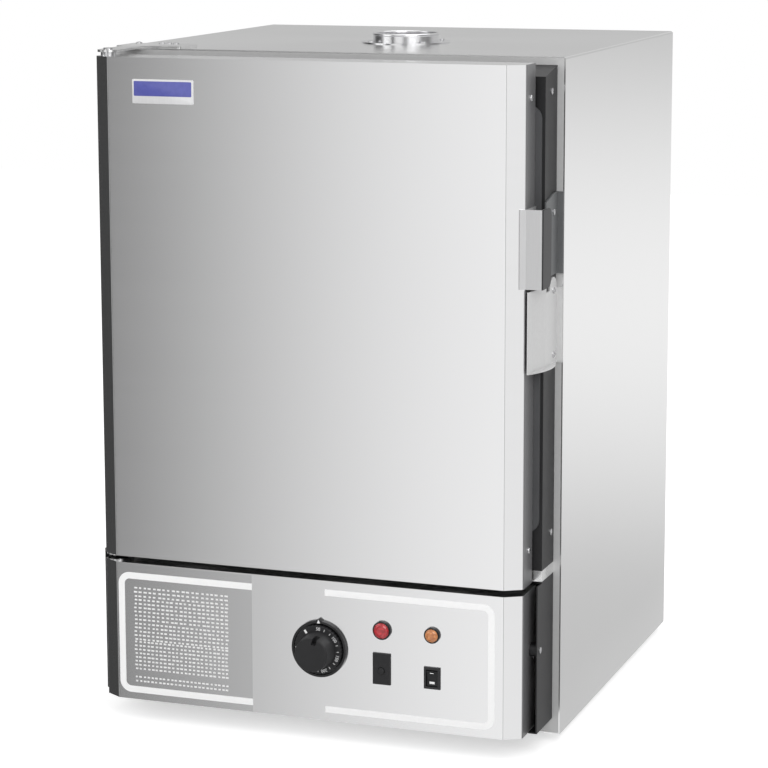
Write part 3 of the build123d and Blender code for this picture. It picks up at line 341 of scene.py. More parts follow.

# %% [markdown]
# ## Brushed stainless steel
# Door, panel and case are folded from sheet that was brushed on a belt. The belt leaves hair-thin
# lines all one way. They make the reflection long across the lines, which is called anisotropy, and
# leave faint streaks in gloss. The folded flanges are painted dark grey, rougher and less metallic:
# painted shade. A clear film takes some shine from the panel's left part. Both are masks on the point's own
# place.

# %% Brushed steel
def brushed(name, shade, roughness, lines, smear=0.5, streak=0.05, haze_under=0.0, edge_beyond=0.0,
            film=None):
    """Stainless sheet; lines is waves a metre along X, Y and Z, small along the brushing.

    Flanges further out than edge_beyond are painted dark grey, rougher and less metallic: painted shade.
    film is the left edge, right edge and top of the panel's clear film, which takes some of the shine.
    """
    steel = Finish(name, shade, roughness, 1.0, Anisotropic=smear, Anisotropic_Rotation=0.25)
    fine = steel.stretched(lines, 3.0)
    broad = steel.stretched(tuple(rate * 0.06 for rate in lines), 2.0)
    cloudy = steel.stretched((7, 7, 7), 2.0)
    streaks = fine * 0.6 + broad * 0.4
    dull = [channel * 0.97 for channel in shade]
    bright = [min(1.0, channel * 1.03) for channel in shade]
    sheen = steel.blend(streaks * 0.7 + cloudy * 0.3, dull, bright)
    gloss = roughness - streak / 2 + streaks * streak + (cloudy - 0.5) * 0.03
    # Painted shade: past edge_beyond the flanges turn dark grey, and rougher and less metallic.
    if edge_beyond:
        side = steel.place("X").maths("ABSOLUTE", steel.place("X"), 0)
        painted_shade_flange = side.past(edge_beyond, 0.4 * MM)
        sheen = steel.blend_wires(painted_shade_flange, sheen, (0.21, 0.21, 0.215))
        gloss = gloss + painted_shade_flange * 0.22
        steel.feed("Metallic", 1 - painted_shade_flange * 0.55)
    if film:
        left_edge, right_edge, top_edge = film
        under = (steel.place("X").past(left_edge, 0.3 * MM)
                 * (steel.place("X") * -1).past(-right_edge, 0.3 * MM)
                 * (steel.place("Z") * -1).past(-top_edge, 0.3 * MM))
        sheen = steel.blend_wires(under * 0.22, sheen, (0.30, 0.30, 0.30))
        gloss = gloss + under * 0.05
    steel.feed("Base Color", sheen)
    if haze_under:
        gloss = gloss + ((haze_under - steel.place("Z")) / haze_under).above(0) * 0.10
    steel.feed("Roughness", gloss)
    steel.relief(fine * 0.7 + broad * 0.3, 0.00001, 0.35)
    finishes[name] = steel.material
    return steel


flange_edge = 203.5 * MM
film_left, film_right, film_top = -188.0, -52.4, 153.5
brushed("front_steel", (0.90, 0.90, 0.905), 0.165, (28, 28, 1600), edge_beyond=flange_edge,
        film=(film_left * MM, film_right * MM, film_top * MM))
brushed("case_steel", (0.88, 0.88, 0.88), 0.16, (1500, 1500, 24), haze_under=0.06)
brushed("rail_steel", (0.88, 0.88, 0.88), 0.20, (24, 1400, 1400))
brushed("handle_steel", (0.80, 0.80, 0.80), 0.26, (1300, 1300, 20))
brushed("liner_steel", (0.62, 0.615, 0.60), 0.34, (20, 20, 900), streak=0.12)
print("five brushed finishes")

# %% [markdown]
# ## Sheet that was never brushed
# The case's folded front border and the striker are cut from plain mill sheet, which scatters light
# instead of mirroring it. Part of the shader is therefore not metallic. The striker's dark colour is
# painted shade. Past a plane measured from the CAD, the pull's leg that faces sideways is painted near
# black: painted shade, for the shade and dark reflection on that leg.

# %% Mill sheet and pull
def mill(name, shade, roughness, metallic, grain=(300, 300, 300)):
    """Mill sheet; grain is waves a metre along X, Y and Z."""
    sheet = Finish(name, shade, roughness, metallic)
    skin_marks = sheet.stretched(grain, 3.0)
    dull = [channel * 0.93 for channel in shade]
    bright = [min(1.0, channel * 1.05) for channel in shade]
    sheet.tint(skin_marks, dull, bright)
    sheet.feed("Roughness", roughness - 0.04 + skin_marks * 0.08)
    sheet.relief(skin_marks, 0.00001, 0.4)
    finishes[name] = sheet.material
    return sheet


mill("border_sheet", (0.62, 0.62, 0.62), 0.55, 0.35)
# The striker's dark colour is painted shade, for the shadow that it stands in.
mill("striker_zinc", (0.20, 0.205, 0.21), 0.48, 0.55)
mill("catch_steel", (0.72, 0.72, 0.72), 0.42, 0.55)
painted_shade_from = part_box("door_handle")[1].x - 1.2 * MM
pull = Finish("coated_pull", (0.66, 0.66, 0.665), 0.34, 0.75)
pull_grain = pull.stretched((900, 900, 30), 3.0)
pull_own_colour = pull.blend(pull_grain, (0.62, 0.62, 0.625), (0.70, 0.70, 0.705))
# Painted shade: past this plane the pull's side leg turns near black, duller and not metallic.
painted_shade_leg = pull.place("X").past(painted_shade_from, 0.4 * MM)
pull.feed("Base Color", pull.blend_wires(painted_shade_leg, pull_own_colour, (0.022, 0.022, 0.024)))
pull.feed("Metallic", 0.75 - painted_shade_leg * 0.75)
pull.feed("Roughness", 0.30 + pull_grain * 0.08 + painted_shade_leg * 0.10)
finishes["coated_pull"] = pull.material
# The x printed here is where the pull's painted shade starts.
print("coating starts at x =", round(painted_shade_from / MM, 1), "mm")

# %% [markdown]
# ## Near-black satin neck
# The neck between the case and the door is coloured near black, with a satin gloss, a fine
# orange-peel bump and faint random patches of dust.

# %% Neck finish
neck_finish = Finish("neck_dark", (0.022, 0.022, 0.024), 0.42, Specular_IOR_Level=0.45)
peel = neck_finish.stretched((900, 900, 900), 1.0)
dust = neck_finish.stretched((22, 22, 9), 3.0)
neck_finish.tint((dust - 0.45).above(0) * 2, (0.008, 0.008, 0.009), (0.020, 0.020, 0.021))
neck_finish.feed("Roughness", 0.36 + dust * 0.14)
neck_finish.relief(peel, 0.00005, 0.4)
finishes["neck_dark"] = neck_finish.material
print("neck paint")

# %% [markdown]
# ## Zinc plate, wool and seal
# Hidden sheets are galvanised: zinc freezes into leaf-like crystals, which a Voronoi pattern gives,
# each cell with its own gloss. The wool around the chamber is yellowish and fibrous. The seal is
# grey silicone, matt, with a fine moulded skin.

# %% Galvanised sheet
zinc = Finish("galvanised", (0.40, 0.42, 0.43), 0.42, 1.0)
crystals = zinc.add("ShaderNodeTexVoronoi", {"feature": "F1"}, {"Vector": zinc.point, "Scale": 260.0})
leaf = zinc.add("ShaderNodeSeparateColor", values={0: crystals["Color"]})["Red"]
zinc.tint(leaf, (0.33, 0.35, 0.36), (0.50, 0.52, 0.53))
zinc.feed("Roughness", 0.34 + leaf * 0.18)
finishes["galvanised"] = zinc.material

# %% Mineral wool
wool = Finish("wool", (0.62, 0.55, 0.34), 0.95, Specular_IOR_Level=0.1)
fibres = wool.stretched((600, 160, 900), 4.0)
wool.tint(fibres, (0.42, 0.36, 0.20), (0.76, 0.70, 0.48))
wool.relief(fibres, 0.0012, 0.8)
finishes["wool"] = wool.material

# %% Silicone seal
silicone = Finish("silicone", (0.085, 0.086, 0.09), 0.62, Specular_IOR_Level=0.35)
skin = silicone.stretched((1400, 1400, 1400), 2.0)
bloom = silicone.stretched((40, 40, 14), 3.0)
silicone.tint(bloom, (0.060, 0.061, 0.064), (0.105, 0.106, 0.11))
silicone.feed("Roughness", 0.55 + bloom * 0.18)
silicone.relief(skin, 0.00006, 0.5)
finishes["silicone"] = silicone.material
print("zinc, wool and silicone")

# %% [markdown]
# ## Heater, bulb and bushes
# The heater's sheath has been hot many times, so its steel is brown and blue in slow bands. The
# thermostat's bulb is dull copper. The hinge bushes are sintered bronze, which is full of tiny pores.

# %% Heat-stained sheath
sheath = Finish("heater_sheath", (0.16, 0.14, 0.12), 0.5, 0.85)
bands = sheath.stretched((9, 14, 9), 3.0)
sheath.tint(bands, (0.10, 0.085, 0.08), (0.26, 0.21, 0.16))
sheath.feed("Roughness", 0.42 + bands * 0.2)
finishes["heater_sheath"] = sheath.material

# %% Copper and bronze
copper = Finish("copper_bulb", (0.62, 0.36, 0.24), 0.38, 1.0)
tarnish = copper.stretched((120, 60, 120), 3.0)
copper.tint(tarnish, (0.40, 0.22, 0.14), (0.74, 0.46, 0.32))
copper.feed("Roughness", 0.30 + tarnish * 0.2)
finishes["copper_bulb"] = copper.material
bronze = Finish("bush_bronze", (0.46, 0.33, 0.17), 0.42, 1.0)
pores = bronze.stretched((2600, 2600, 2600), 2.0)
bronze.tint(pores, (0.34, 0.23, 0.11), (0.54, 0.40, 0.22))
bronze.relief(pores, 0.00008, 0.6)
finishes["bush_bronze"] = bronze.material
print("heater, bulb and bushes")

# %% [markdown]
# ## Spun steel on the vent
# The vent's flange and collar were spun on a lathe, so their marks are rings about the vent's own
# axis. A ring pattern is a wave of the distance from that axis, which Vector Math works out.

# %% Spun vent
vent_low, vent_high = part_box("vent_flange")
vent_axis = (vent_low + vent_high) / 2
spun = Finish("vent_steel", (0.80, 0.80, 0.81), 0.17, 1.0)
from_axis = spun.add("ShaderNodeVectorMath", {"operation": "SUBTRACT"},
                     {0: spun.point, 1: (vent_axis.x, vent_axis.y, 0)})["Vector"]
flattened = spun.add("ShaderNodeVectorMath", {"operation": "MULTIPLY"},
                     {0: from_axis, 1: (1, 1, 0)})["Vector"]
radius = spun.add("ShaderNodeVectorMath", {"operation": "LENGTH"}, {0: flattened})["Value"]
rings_per_metre = 1800
along = spun.add("ShaderNodeCombineXYZ", values={0: radius * rings_per_metre, 1: 0.0, 2: 0.0})["Vector"]
rings = spun.add("ShaderNodeTexNoise", {"noise_dimensions": "3D"},
                 {"Vector": along, "Scale": 1.0, "Detail": 2.0})["Fac"]
spun.tint(rings, (0.72, 0.72, 0.73), (0.86, 0.86, 0.87))
spun.feed("Roughness", 0.12 + rings * 0.12)
spun.relief(rings, 0.00002, 0.5)
finishes["vent_steel"] = spun.material
print("vent axis at", round(vent_axis.x / MM, 1), round(vent_axis.y / MM, 1), "mm")

# %% [markdown]
# ## Plated hardware
# Screws, pins and washers are plated bright, and the wire shelves too. Handling leaves small cloudy
# patches, which only the gloss shows.

# %% Plated metal
def plated(name, shade, roughness, patch=60):
    """Plated metal; patch is handling marks a metre."""
    plate = Finish(name, shade, roughness, 1.0)
    cloud = plate.stretched((patch, patch, patch), 3.0)
    plate.tint(cloud, [channel * 0.9 for channel in shade], shade)
    plate.feed("Roughness", roughness - 0.05 + cloud * 0.12)
    finishes[name] = plate.material
    return plate


plated("fastener", (0.72, 0.72, 0.73), 0.24, 300)
plated("shelf_wire", (0.70, 0.70, 0.71), 0.22, 40)
print("plated finishes")

# %% [markdown]
# ## Moulded plastic and rubber
# The knob is matt phenolic with a fine spark-eroded grain, the bezels are glossy, and the feet are
# rubber. All are near black, so grain and gloss are all that tells them apart.

# %% Plastics
def moulded(name, shade, roughness, grain, depth, gloss=0.4):
    """Moulded plastic; grain is waves a metre, depth their height in metres."""
    plastic = Finish(name, shade, roughness, Specular_IOR_Level=gloss)
    texture = plastic.stretched((grain, grain, grain), 3.0)
    scuff = plastic.stretched((70, 70, 70), 3.0)
    plastic.tint(scuff, shade, [channel * 1.5 for channel in shade])
    plastic.feed("Roughness", roughness - 0.04 + scuff * 0.1)
    plastic.relief(texture, depth, 0.6)
    finishes[name] = plastic.material
    return plastic


moulded("black_plastic", (0.014, 0.014, 0.015), 0.50, 2600, 0.00005)
moulded("gloss_black", (0.008, 0.008, 0.009), 0.16, 400, 0.00001, 0.5)
moulded("foot_rubber", (0.018, 0.018, 0.018), 0.75, 1500, 0.0001, 0.3)
print("plastics")

# %% [markdown]
# ## Pilot lamp lenses
# Each lens is a domed cap of coloured, clear plastic with small prisms moulded on its inside. The
# bright and dark facets that the prisms make of the light are painted into the colour: painted
# highlight and painted shade, darker towards each facet's edge. The gloss layer stays smooth and wet-looking.

# %% Lenses
def lens(name, deep, bright, facets=520):
    """A clear coloured cap; facets a metre of painted highlight and shade run between its deep and bright
    colours.
    """
    cap = Finish(name, bright, 0.28, Coat_Weight=1.0, Coat_Roughness=0.04, Specular_IOR_Level=0.5)
    prism = cap.add("ShaderNodeTexVoronoi", {"feature": "F1"}, {"Vector": cap.point, "Scale": facets})
    shade = cap.add("ShaderNodeSeparateColor", values={0: prism["Color"]})["Red"]
    edge = prism["Distance"]
    # Painted highlight and shade: each facet gets its own brightness, darker towards its edge.
    cap.tint((shade * 0.75 + 0.35 - edge * 0.4).above(0).below(1), deep, bright)
    cap.relief(edge, 0.0003, 0.25)
    finishes[name] = cap.material
    return cap


lens("red_lens", (0.24, 0.006, 0.010), (0.62, 0.020, 0.032))
lens("amber_lens", (0.36, 0.11, 0.03), (0.72, 0.29, 0.10))
print("lenses")

# %% [markdown]
# ## Finishes onto the CAD
# The record says which finish each CAD node takes, and a short list names the nodes with a finish of
# their own. A node's mesh is left as it is; only its material slot changes.

# %% Assign the finishes
own_finish = {"front_plate": "border_sheet", "striker_plate": "striker_zinc",
              "catch_bracket": "catch_steel", "door_handle": "coated_pull", "fascia_spacers": "neck_dark"}
for part in frame["record"]["subparts"]:
    mesh = nodes[part["node"]].data
    mesh.materials.clear()
    mesh.materials.append(finishes[own_finish.get(part["node"], part["material_slot"])])

# %% [markdown]
# ## Growing pieces with Geometry Nodes
# What repeats, or follows a path, is grown by a node tree instead of being placed by hand. The tree
# has named inputs for its sizes. A modifier runs it, each input is set by its socket's identifier, and
# the result is copied to a plain mesh, so that nothing live is left on the finished piece.

# %% Recipe
class Recipe(Tree):
    """A Geometry Nodes tree with named inputs."""

    def __init__(self, name, inputs):
        group = bpy.data.node_groups.new(name, "GeometryNodeTree")
        super().__init__(group)
        group.interface.new_socket("Geometry", in_out="INPUT", socket_type="NodeSocketGeometry")
        group.interface.new_socket("Geometry", in_out="OUTPUT", socket_type="NodeSocketGeometry")
        for socket_name, kind in inputs.items():
            group.interface.new_socket(socket_name, in_out="INPUT", socket_type=kind)
        self.given = self.add("NodeGroupInput")

    def finish(self, geometry):
        solid = self.add("GeometryNodeRealizeInstances", values={"Geometry": geometry})["Geometry"]
        painted = self.add("GeometryNodeSetMaterial", values={"Geometry": solid,
                                                              "Material": self.given["Material"]})["Geometry"]
        self.add("NodeGroupOutput", values={"Geometry": painted})


def grow(name, recipe, sizes, seed_mesh=None):
    """Run a recipe on a mesh and return a plain mesh object at the origin."""
    start = put_in_scene(name + "_start", seed_mesh or bpy.data.meshes.new(name + "_start"))
    modifier = start.modifiers.new("recipe", "NODES")
    modifier.node_group = recipe.tree
    for item in recipe.tree.interface.items_tree:
        if item.in_out == "INPUT" and item.name in sizes:
            modifier[item.identifier] = sizes[item.name]
    result = start.evaluated_get(bpy.context.evaluated_depsgraph_get())
    grown = bpy.data.meshes.new_from_object(result)
    grown.name = name
    start.modifiers.clear()
    bpy.data.objects.remove(start)
    piece = put_in_scene(name, grown)
    return piece


def mesh_from(work, name):
    """Close a bmesh and keep it as a mesh."""
    data = bpy.data.meshes.new(name)
    work.to_mesh(data)
    work.free()
    return data


def soften(piece, degrees=35):
    """Smooth shading, with edges sharper than that angle kept crisp."""
    piece.data.shade_smooth()
    piece.data.set_sharp_from_angle(angle=math.radians(degrees))
    return piece


print("recipes can be grown")

# %% [markdown]
# ## Screws
# Sheet metal is held by pan head screws with a cross recess. One head is drawn by the tree: a low
# cylinder whose top is pulled into a dome, with a cross cut out of it. The tree then stands a copy on
# each point of a small mesh and turns it to the direction stored there. Each copy has its own turn,
# because no fitter stops every screw at the same angle.

# %% Screw recipe
screw_recipe = Recipe("screw_heads", {
    "Head radius": "NodeSocketFloat", "Head height": "NodeSocketFloat",
    "Recess length": "NodeSocketFloat", "Recess width": "NodeSocketFloat",
    "Recess depth": "NodeSocketFloat", "Seed": "NodeSocketInt", "Material": "NodeSocketMaterial"})


def chance_of(tree, random_node):
    """The plain number output of a Random Value node, which has one output for each kind."""
    return Wire(tree, next(socket for socket in random_node.node.outputs if socket.type == "VALUE"))


def draw_screws(tree):
    size = tree.given
    puck = tree.add("GeometryNodeMeshCylinder", {"fill_type": "TRIANGLE_FAN"},
                    {"Vertices": 24, "Side Segments": 2, "Fill Segments": 4,
                     "Radius": size["Head radius"], "Depth": size["Head height"]})["Mesh"]
    lift = tree.add("ShaderNodeCombineXYZ", values={2: size["Head height"] / 2})["Vector"]
    puck = tree.add("GeometryNodeTransform", values={"Geometry": puck, "Translation": lift})["Geometry"]
    where = tree.add("ShaderNodeSeparateXYZ", values={0: tree.add("GeometryNodeInputPosition")["Position"]})
    squared = where["X"] * where["X"] + where["Y"] * where["Y"]
    share = squared / (size["Head radius"] * size["Head radius"])
    drop = tree.add("ShaderNodeCombineXYZ", values={2: where["Z"] * share * -0.45})["Vector"]
    head = tree.add("GeometryNodeSetPosition", values={"Geometry": puck, "Offset": drop})["Geometry"]
    bars = []
    for long_way, wide_way in ((0, 1), (1, 0)):
        extent = tree.add("ShaderNodeCombineXYZ", values={
            long_way: size["Recess length"], wide_way: size["Recess width"],
            2: size["Recess depth"] * 2})["Vector"]
        bars.append(tree.add("GeometryNodeMeshCube", values={"Size": extent})["Mesh"])
    cross = tree.add("GeometryNodeMeshBoolean", {"operation": "UNION", "solver": "EXACT"})
    for bar in bars:
        tree.tree.links.new(bar.socket, cross.node.inputs["Mesh 2"])
    top = tree.add("ShaderNodeCombineXYZ", values={2: size["Head height"]})["Vector"]
    raised = tree.add("GeometryNodeTransform", values={"Geometry": cross["Mesh"],
                                                       "Translation": top})["Geometry"]
    cut = tree.add("GeometryNodeMeshBoolean", {"operation": "DIFFERENCE", "solver": "EXACT"},
                   {"Mesh 1": head, "Mesh 2": raised})["Mesh"]
    facing = tree.add("GeometryNodeInputNamedAttribute", {"data_type": "FLOAT_VECTOR"},
                      {"Name": "facing"})["Attribute"]
    upright = tree.add("FunctionNodeAlignRotationToVector", {"axis": "Z"}, {"Vector": facing})["Rotation"]
    spin = tree.add("FunctionNodeRandomValue", {"data_type": "FLOAT"},
                    {2: 0.0, 3: math.pi, "Seed": size["Seed"]})
    about = tree.add("FunctionNodeAxisAngleToRotation", values={
        "Axis": (0, 0, 1), "Angle": chance_of(tree, spin)})["Rotation"]
    turned = tree.add("FunctionNodeRotateRotation", {"rotation_space": "LOCAL"},
                      {"Rotation": upright, "Rotate By": about})["Rotation"]
    placed = tree.add("GeometryNodeInstanceOnPoints", values={
        "Points": size["Geometry"], "Instance": cut, "Rotation": turned})["Instances"]
    tree.finish(placed)


draw_screws(screw_recipe)
print("screw recipe has", len(screw_recipe.tree.nodes), "nodes")

# %% [markdown]
# ## Where the screws go
# The CAD already holds a plain domed head at every screw. Their places are read from it: a merged
# copy of the node falls apart into islands, one for each head, and the middle of an island's foot is
# where the detailed head stands. The detailed piece then takes the plain one's place.

# %% Screw places
def islands(node_name):
    """Middle and size of every separate solid in a CAD node."""
    work = bmesh.new()
    work.from_mesh(nodes[node_name].data)
    bmesh.ops.remove_doubles(work, verts=work.verts, dist=1e-6)
    found, seen_before = [], set()
    for start in work.verts:
        if start in seen_before:
            continue
        group, edge_of_group = [], [start]
        seen_before.add(start)
        while edge_of_group:
            vertex = edge_of_group.pop()
            group.append(vertex.co.copy())
            for edge in vertex.link_edges:
                other = edge.other_vert(vertex)
                if other not in seen_before:
                    seen_before.add(other)
                    edge_of_group.append(other)
        low = Vector([min(point[i] for point in group) for i in range(3)])
        high = Vector([max(point[i] for point in group) for i in range(3)])
        found.append(((low + high) / 2, high - low))
    work.free()
    return found


def screw_points(name, node_name, outward):
    """A mesh with one vertex at the foot of each head and its outward direction as an attribute."""
    feet, directions = [], []
    for centre, extent in islands(node_name):
        direction = outward(centre)
        thickness = abs(direction.dot(extent))
        feet.append(centre - direction * thickness / 2)
        directions.append(direction)
    mesh = bpy.data.meshes.new(name + "_points")
    mesh.from_pydata(feet, [], [])
    facing = mesh.attributes.new("facing", "FLOAT_VECTOR", "POINT")
    for index, direction in enumerate(directions):
        facing.data[index].vector = direction
    return mesh


def sideways(centre):
    """Out of the nearer side."""
    return Vector((math.copysign(1, centre.x), 0, 0))


screw_sets = {
    "side_screws": ("cabinet", sideways, 11),
    "roof_screws": ("cabinet", lambda centre: Vector((0, 0, 1)), 12),
    "back_screws": ("cabinet", lambda centre: Vector((0, 1, 0)), 13),
    "handle_screws": ("door", sideways, 14),
}
for node_name, (body, outward, seed) in screw_sets.items():
    points = screw_points(node_name, node_name, outward)
    heads = grow(node_name + "_heads", screw_recipe, {
        "Head radius": 3.0 * MM, "Head height": 1.6 * MM, "Recess length": 3.4 * MM,
        "Recess width": 0.7 * MM, "Recess depth": 0.7 * MM, "Seed": seed,
        "Material": finishes["fastener"]}, points)
    soften(heads)
    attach(heads, body)
    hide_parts(node_name)
    print(node_name, len(points.vertices), "heads,", len(heads.data.polygons), "faces")

# %% [markdown]
# ## Printing on the panel
# A clear film with a white line round its edge covers the left part of the panel, and a second white
# line frames the controls. Screen printing lies on the surface like a very thin sheet, so the line is
# a flat ribbon a tenth of a millimetre thick. Its corners are rounded by the Fillet Curve node.

# %% Line recipe
line_recipe = Recipe("printed_line", {
    "Line width": "NodeSocketFloat", "Ink thickness": "NodeSocketFloat",
    "Corner radius": "NodeSocketFloat", "Material": "NodeSocketMaterial"})


def draw_line(tree):
    size = tree.given
    path = tree.add("GeometryNodeMeshToCurve", values={"Mesh": size["Geometry"]})["Curve"]
    rounded = tree.add("GeometryNodeFilletCurve", {"mode": "POLY"},
                       {"Curve": path, "Radius": size["Corner radius"], "Count": 10})["Curve"]
    flat = tree.add("GeometryNodeSetCurveNormal", {"mode": "FREE"},
                    {"Curve": rounded, "Normal": (0, -1, 0)})["Curve"]
    section = tree.add("GeometryNodeCurvePrimitiveQuadrilateral", {"mode": "RECTANGLE"},
                       {"Width": size["Ink thickness"], "Height": size["Line width"]})["Curve"]
    ribbon = tree.add("GeometryNodeCurveToMesh", values={"Curve": flat, "Profile Curve": section,
                                                         "Fill Caps": True})["Mesh"]
    tree.finish(ribbon)


draw_line(line_recipe)
print("line recipe has", len(line_recipe.tree.nodes), "nodes")

# %% White ink
ink = Finish("white_ink", (0.90, 0.90, 0.90), 0.38, Specular_IOR_Level=0.4)
coverage = ink.stretched((500, 500, 500), 3.0)
ink.tint(coverage, (0.90, 0.90, 0.90), (0.96, 0.96, 0.96))
ink.relief(coverage, 0.00002, 0.4)
print("white ink")

# %% Printed lines
panel_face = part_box("fascia_panel")[0].y
ink_thickness = 0.12 * MM


def printed_line(name, corners, width, radius):
    path = bpy.data.meshes.new(name + "_path")
    level = panel_face - ink_thickness * 0.4
    path.from_pydata([(x * MM, level, z * MM) for x, z in corners],
                     [(i, i + 1) for i in range(len(corners) - 1)], [])
    line = grow(name, line_recipe, {"Line width": width * MM, "Ink thickness": ink_thickness,
                                    "Corner radius": radius * MM, "Material": ink.material}, path)
    line.data.shade_flat()
    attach(line, "cabinet")
    low = Vector([min(v.co[i] for v in line.data.vertices) for i in range(3)])
    high = Vector([max(v.co[i] for v in line.data.vertices) for i in range(3)])
    print(name, [round(value / MM, 2) for value in high - low], "mm")
    return line


borders = {
    "left_border": ([(film_right, 142.4), (-184, 142.4), (-184, 32.6), (film_right, 32.6)], 6.2),
    "right_border": ([(19.2, 143.6), (177.8, 143.6), (177.8, 33.5), (19.2, 33.5)], 6.0)}
border_corner = 8.0
for border_name, (corners, width) in borders.items():
    printed_line(border_name, corners, width, border_corner)

# %% [markdown]
# ## Ruled rows
# The left film carries rows of small print on such units. Here they are plain dashes without words:
# a grid of points, each pushed a little along its row, and a thin bar on each with a seeded random
# length, so that the rows have a ragged rhythm.

# %% Row recipe
row_recipe = Recipe("ruled_rows", {
    "Rows": "NodeSocketInt", "Dashes": "NodeSocketInt", "Block width": "NodeSocketFloat",
    "Block height": "NodeSocketFloat", "Dash height": "NodeSocketFloat", "Ink thickness": "NodeSocketFloat",
    "Seed": "NodeSocketInt", "Place": "NodeSocketVector", "Material": "NodeSocketMaterial"})


def draw_rows(tree):
    size = tree.given
    sheet = tree.add("GeometryNodeMeshGrid", values={
        "Size X": size["Block width"], "Size Y": size["Block height"],
        "Vertices X": size["Dashes"], "Vertices Y": size["Rows"]})["Mesh"]
    stood = tree.add("GeometryNodeTransform", values={"Geometry": sheet, "Rotation": (math.pi / 2, 0, 0),
                                                      "Translation": size["Place"]})["Geometry"]
    pitch = size["Block width"] / size["Dashes"]
    shift = tree.add("FunctionNodeRandomValue", {"data_type": "FLOAT"},
                     {2: -0.12, 3: 0.12, "Seed": size["Seed"] + 7})
    along_row = chance_of(tree, shift) * pitch
    offset = tree.add("ShaderNodeCombineXYZ", values={0: along_row, 1: 0.0, 2: 0.0})["Vector"]
    stood = tree.add("GeometryNodeSetPosition", values={"Geometry": stood, "Offset": offset})["Geometry"]
    extent = tree.add("ShaderNodeCombineXYZ", values={0: pitch, 1: size["Ink thickness"],
                                                      2: size["Dash height"]})["Vector"]
    bar = tree.add("GeometryNodeMeshCube", values={"Size": extent})["Mesh"]
    chance = tree.add("FunctionNodeRandomValue", {"data_type": "FLOAT"},
                      {2: 0.46, 3: 0.74, "Seed": size["Seed"]})
    scale = tree.add("ShaderNodeCombineXYZ", values={0: chance_of(tree, chance), 1: 1.0, 2: 1.0})["Vector"]
    bars = tree.add("GeometryNodeInstanceOnPoints", values={"Points": stood, "Instance": bar,
                                                            "Scale": scale})["Instances"]
    tree.finish(bars)


draw_rows(row_recipe)

# %% Rows
small_ink = Finish("small_print_ink", (0.66, 0.66, 0.66), 0.45, Specular_IOR_Level=0.3)
worn = small_ink.stretched((700, 700, 700), 2.0)
small_ink.tint(worn, (0.80, 0.80, 0.80), (0.92, 0.92, 0.92))
blocks = [(127.0, 3, 8), (110.0, 6, 19), (89.0, 5, 15), (66.0, 8, 26), (43.0, 2, 4)]
for number, (middle_z, rows, height) in enumerate(blocks):
    rows_piece = grow(f"ruled_rows_{number + 1}", row_recipe, {
        "Rows": rows, "Dashes": 20 + number, "Block width": 92 * MM, "Block height": height * MM,
        "Dash height": 1.5 * MM, "Ink thickness": ink_thickness, "Seed": 30 + number,
        "Place": (-124 * MM, panel_face - ink_thickness * 0.4, middle_z * MM),
        "Material": small_ink.material})
    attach(rows_piece, "cabinet")
    print(rows_piece.name, len(rows_piece.data.polygons), "faces")

# %% [markdown]
# ## Knob
# The knob is turned: a skirt with a grooved rim for grip, and a tapered hub with a notch in its end
# that points at the setting. A section turned about the axis gives skirt and hub, and a wave on the
# rim's rings cuts the grooves, which costs fewer faces than forty boolean cuts. Only the notch is cut.

# %% Knob section
knob_low, knob_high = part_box("control_knob")
knob_x = (knob_low.x + knob_high.x) / 2
knob_z = (knob_low.z + knob_high.z) / 2
knob_height = knob_high.y - knob_low.y
skirt_depth = 5.4 * MM
groove_count, groove_depth = 40, 0.7 * MM
rim = (knob_high.x - knob_low.x) / 2 - 0.3 * MM
tip_radius, root_radius = 15.5 * MM, 17.0 * MM
knob_section = [
    (rim - 0.8 * MM, 0.0, False), (rim, 0.7 * MM, True), (rim, skirt_depth - 0.6 * MM, True),
    (rim - 0.7 * MM, skirt_depth, False), (root_radius + 0.3 * MM, skirt_depth, False),
    (root_radius, skirt_depth + 0.5 * MM, False),
    (tip_radius + 0.3 * MM, knob_height - 0.9 * MM, False), (tip_radius - 0.5 * MM, knob_height, False)]
print("knob", round(2 * rim / MM, 1), "mm wide,", round(knob_height / MM, 1), "mm high")


# %% Turn the knob
def turned_knob(name, section, steps):
    """A knob turned about Y; a section point is (radius, height, whether the grooves cut it)."""
    work = bmesh.new()
    rings = []
    for ring_radius, height, grooved in section:
        ring = []
        for step in range(steps):
            angle = 2 * math.pi * step / steps
            wave = max(0.0, math.cos(angle * groove_count)) if grooved else 0.0
            reach_out = ring_radius - groove_depth * wave
            ring.append(work.verts.new((knob_x + reach_out * math.sin(angle), knob_high.y - height,
                                        knob_z + reach_out * math.cos(angle))))
        rings.append(ring)
    for near, far in zip(rings, rings[1:]):
        for i in range(steps):
            j = (i + 1) % steps
            work.faces.new((near[i], near[j], far[j], far[i]))
    work.faces.new(rings[0])
    work.faces.new(rings[-1])
    bmesh.ops.recalc_face_normals(work, faces=work.faces)
    data = mesh_from(work, name)
    piece = put_in_scene(name, data)
    return piece


# %% Notch
def notched(piece, width, inner, outer, depth, angle):
    """Cut a slot into the knob's tip, towards its pointer, and keep the result as a plain mesh."""
    cutter_data = bpy.data.meshes.new("notch")
    work = bmesh.new()
    bmesh.ops.create_cube(work, size=1.0, matrix=Matrix.Diagonal((width, 2 * depth, outer - inner, 1)))
    work.to_mesh(cutter_data)
    work.free()
    cutter_data.transform(Matrix.Translation((knob_x, knob_low.y, knob_z)) @ Matrix.Rotation(angle, 4, "Y")
                          @ Matrix.Translation((0, 0, (inner + outer) / 2)))
    cutter = put_in_scene("notch", cutter_data)
    cut = piece.modifiers.new("notch", "BOOLEAN")
    cut.object = cutter
    cut.solver = "EXACT"
    mesh = bpy.data.meshes.new_from_object(piece.evaluated_get(bpy.context.evaluated_depsgraph_get()))
    piece.modifiers.clear()
    piece.data = mesh
    bpy.data.objects.remove(cutter)
    return piece


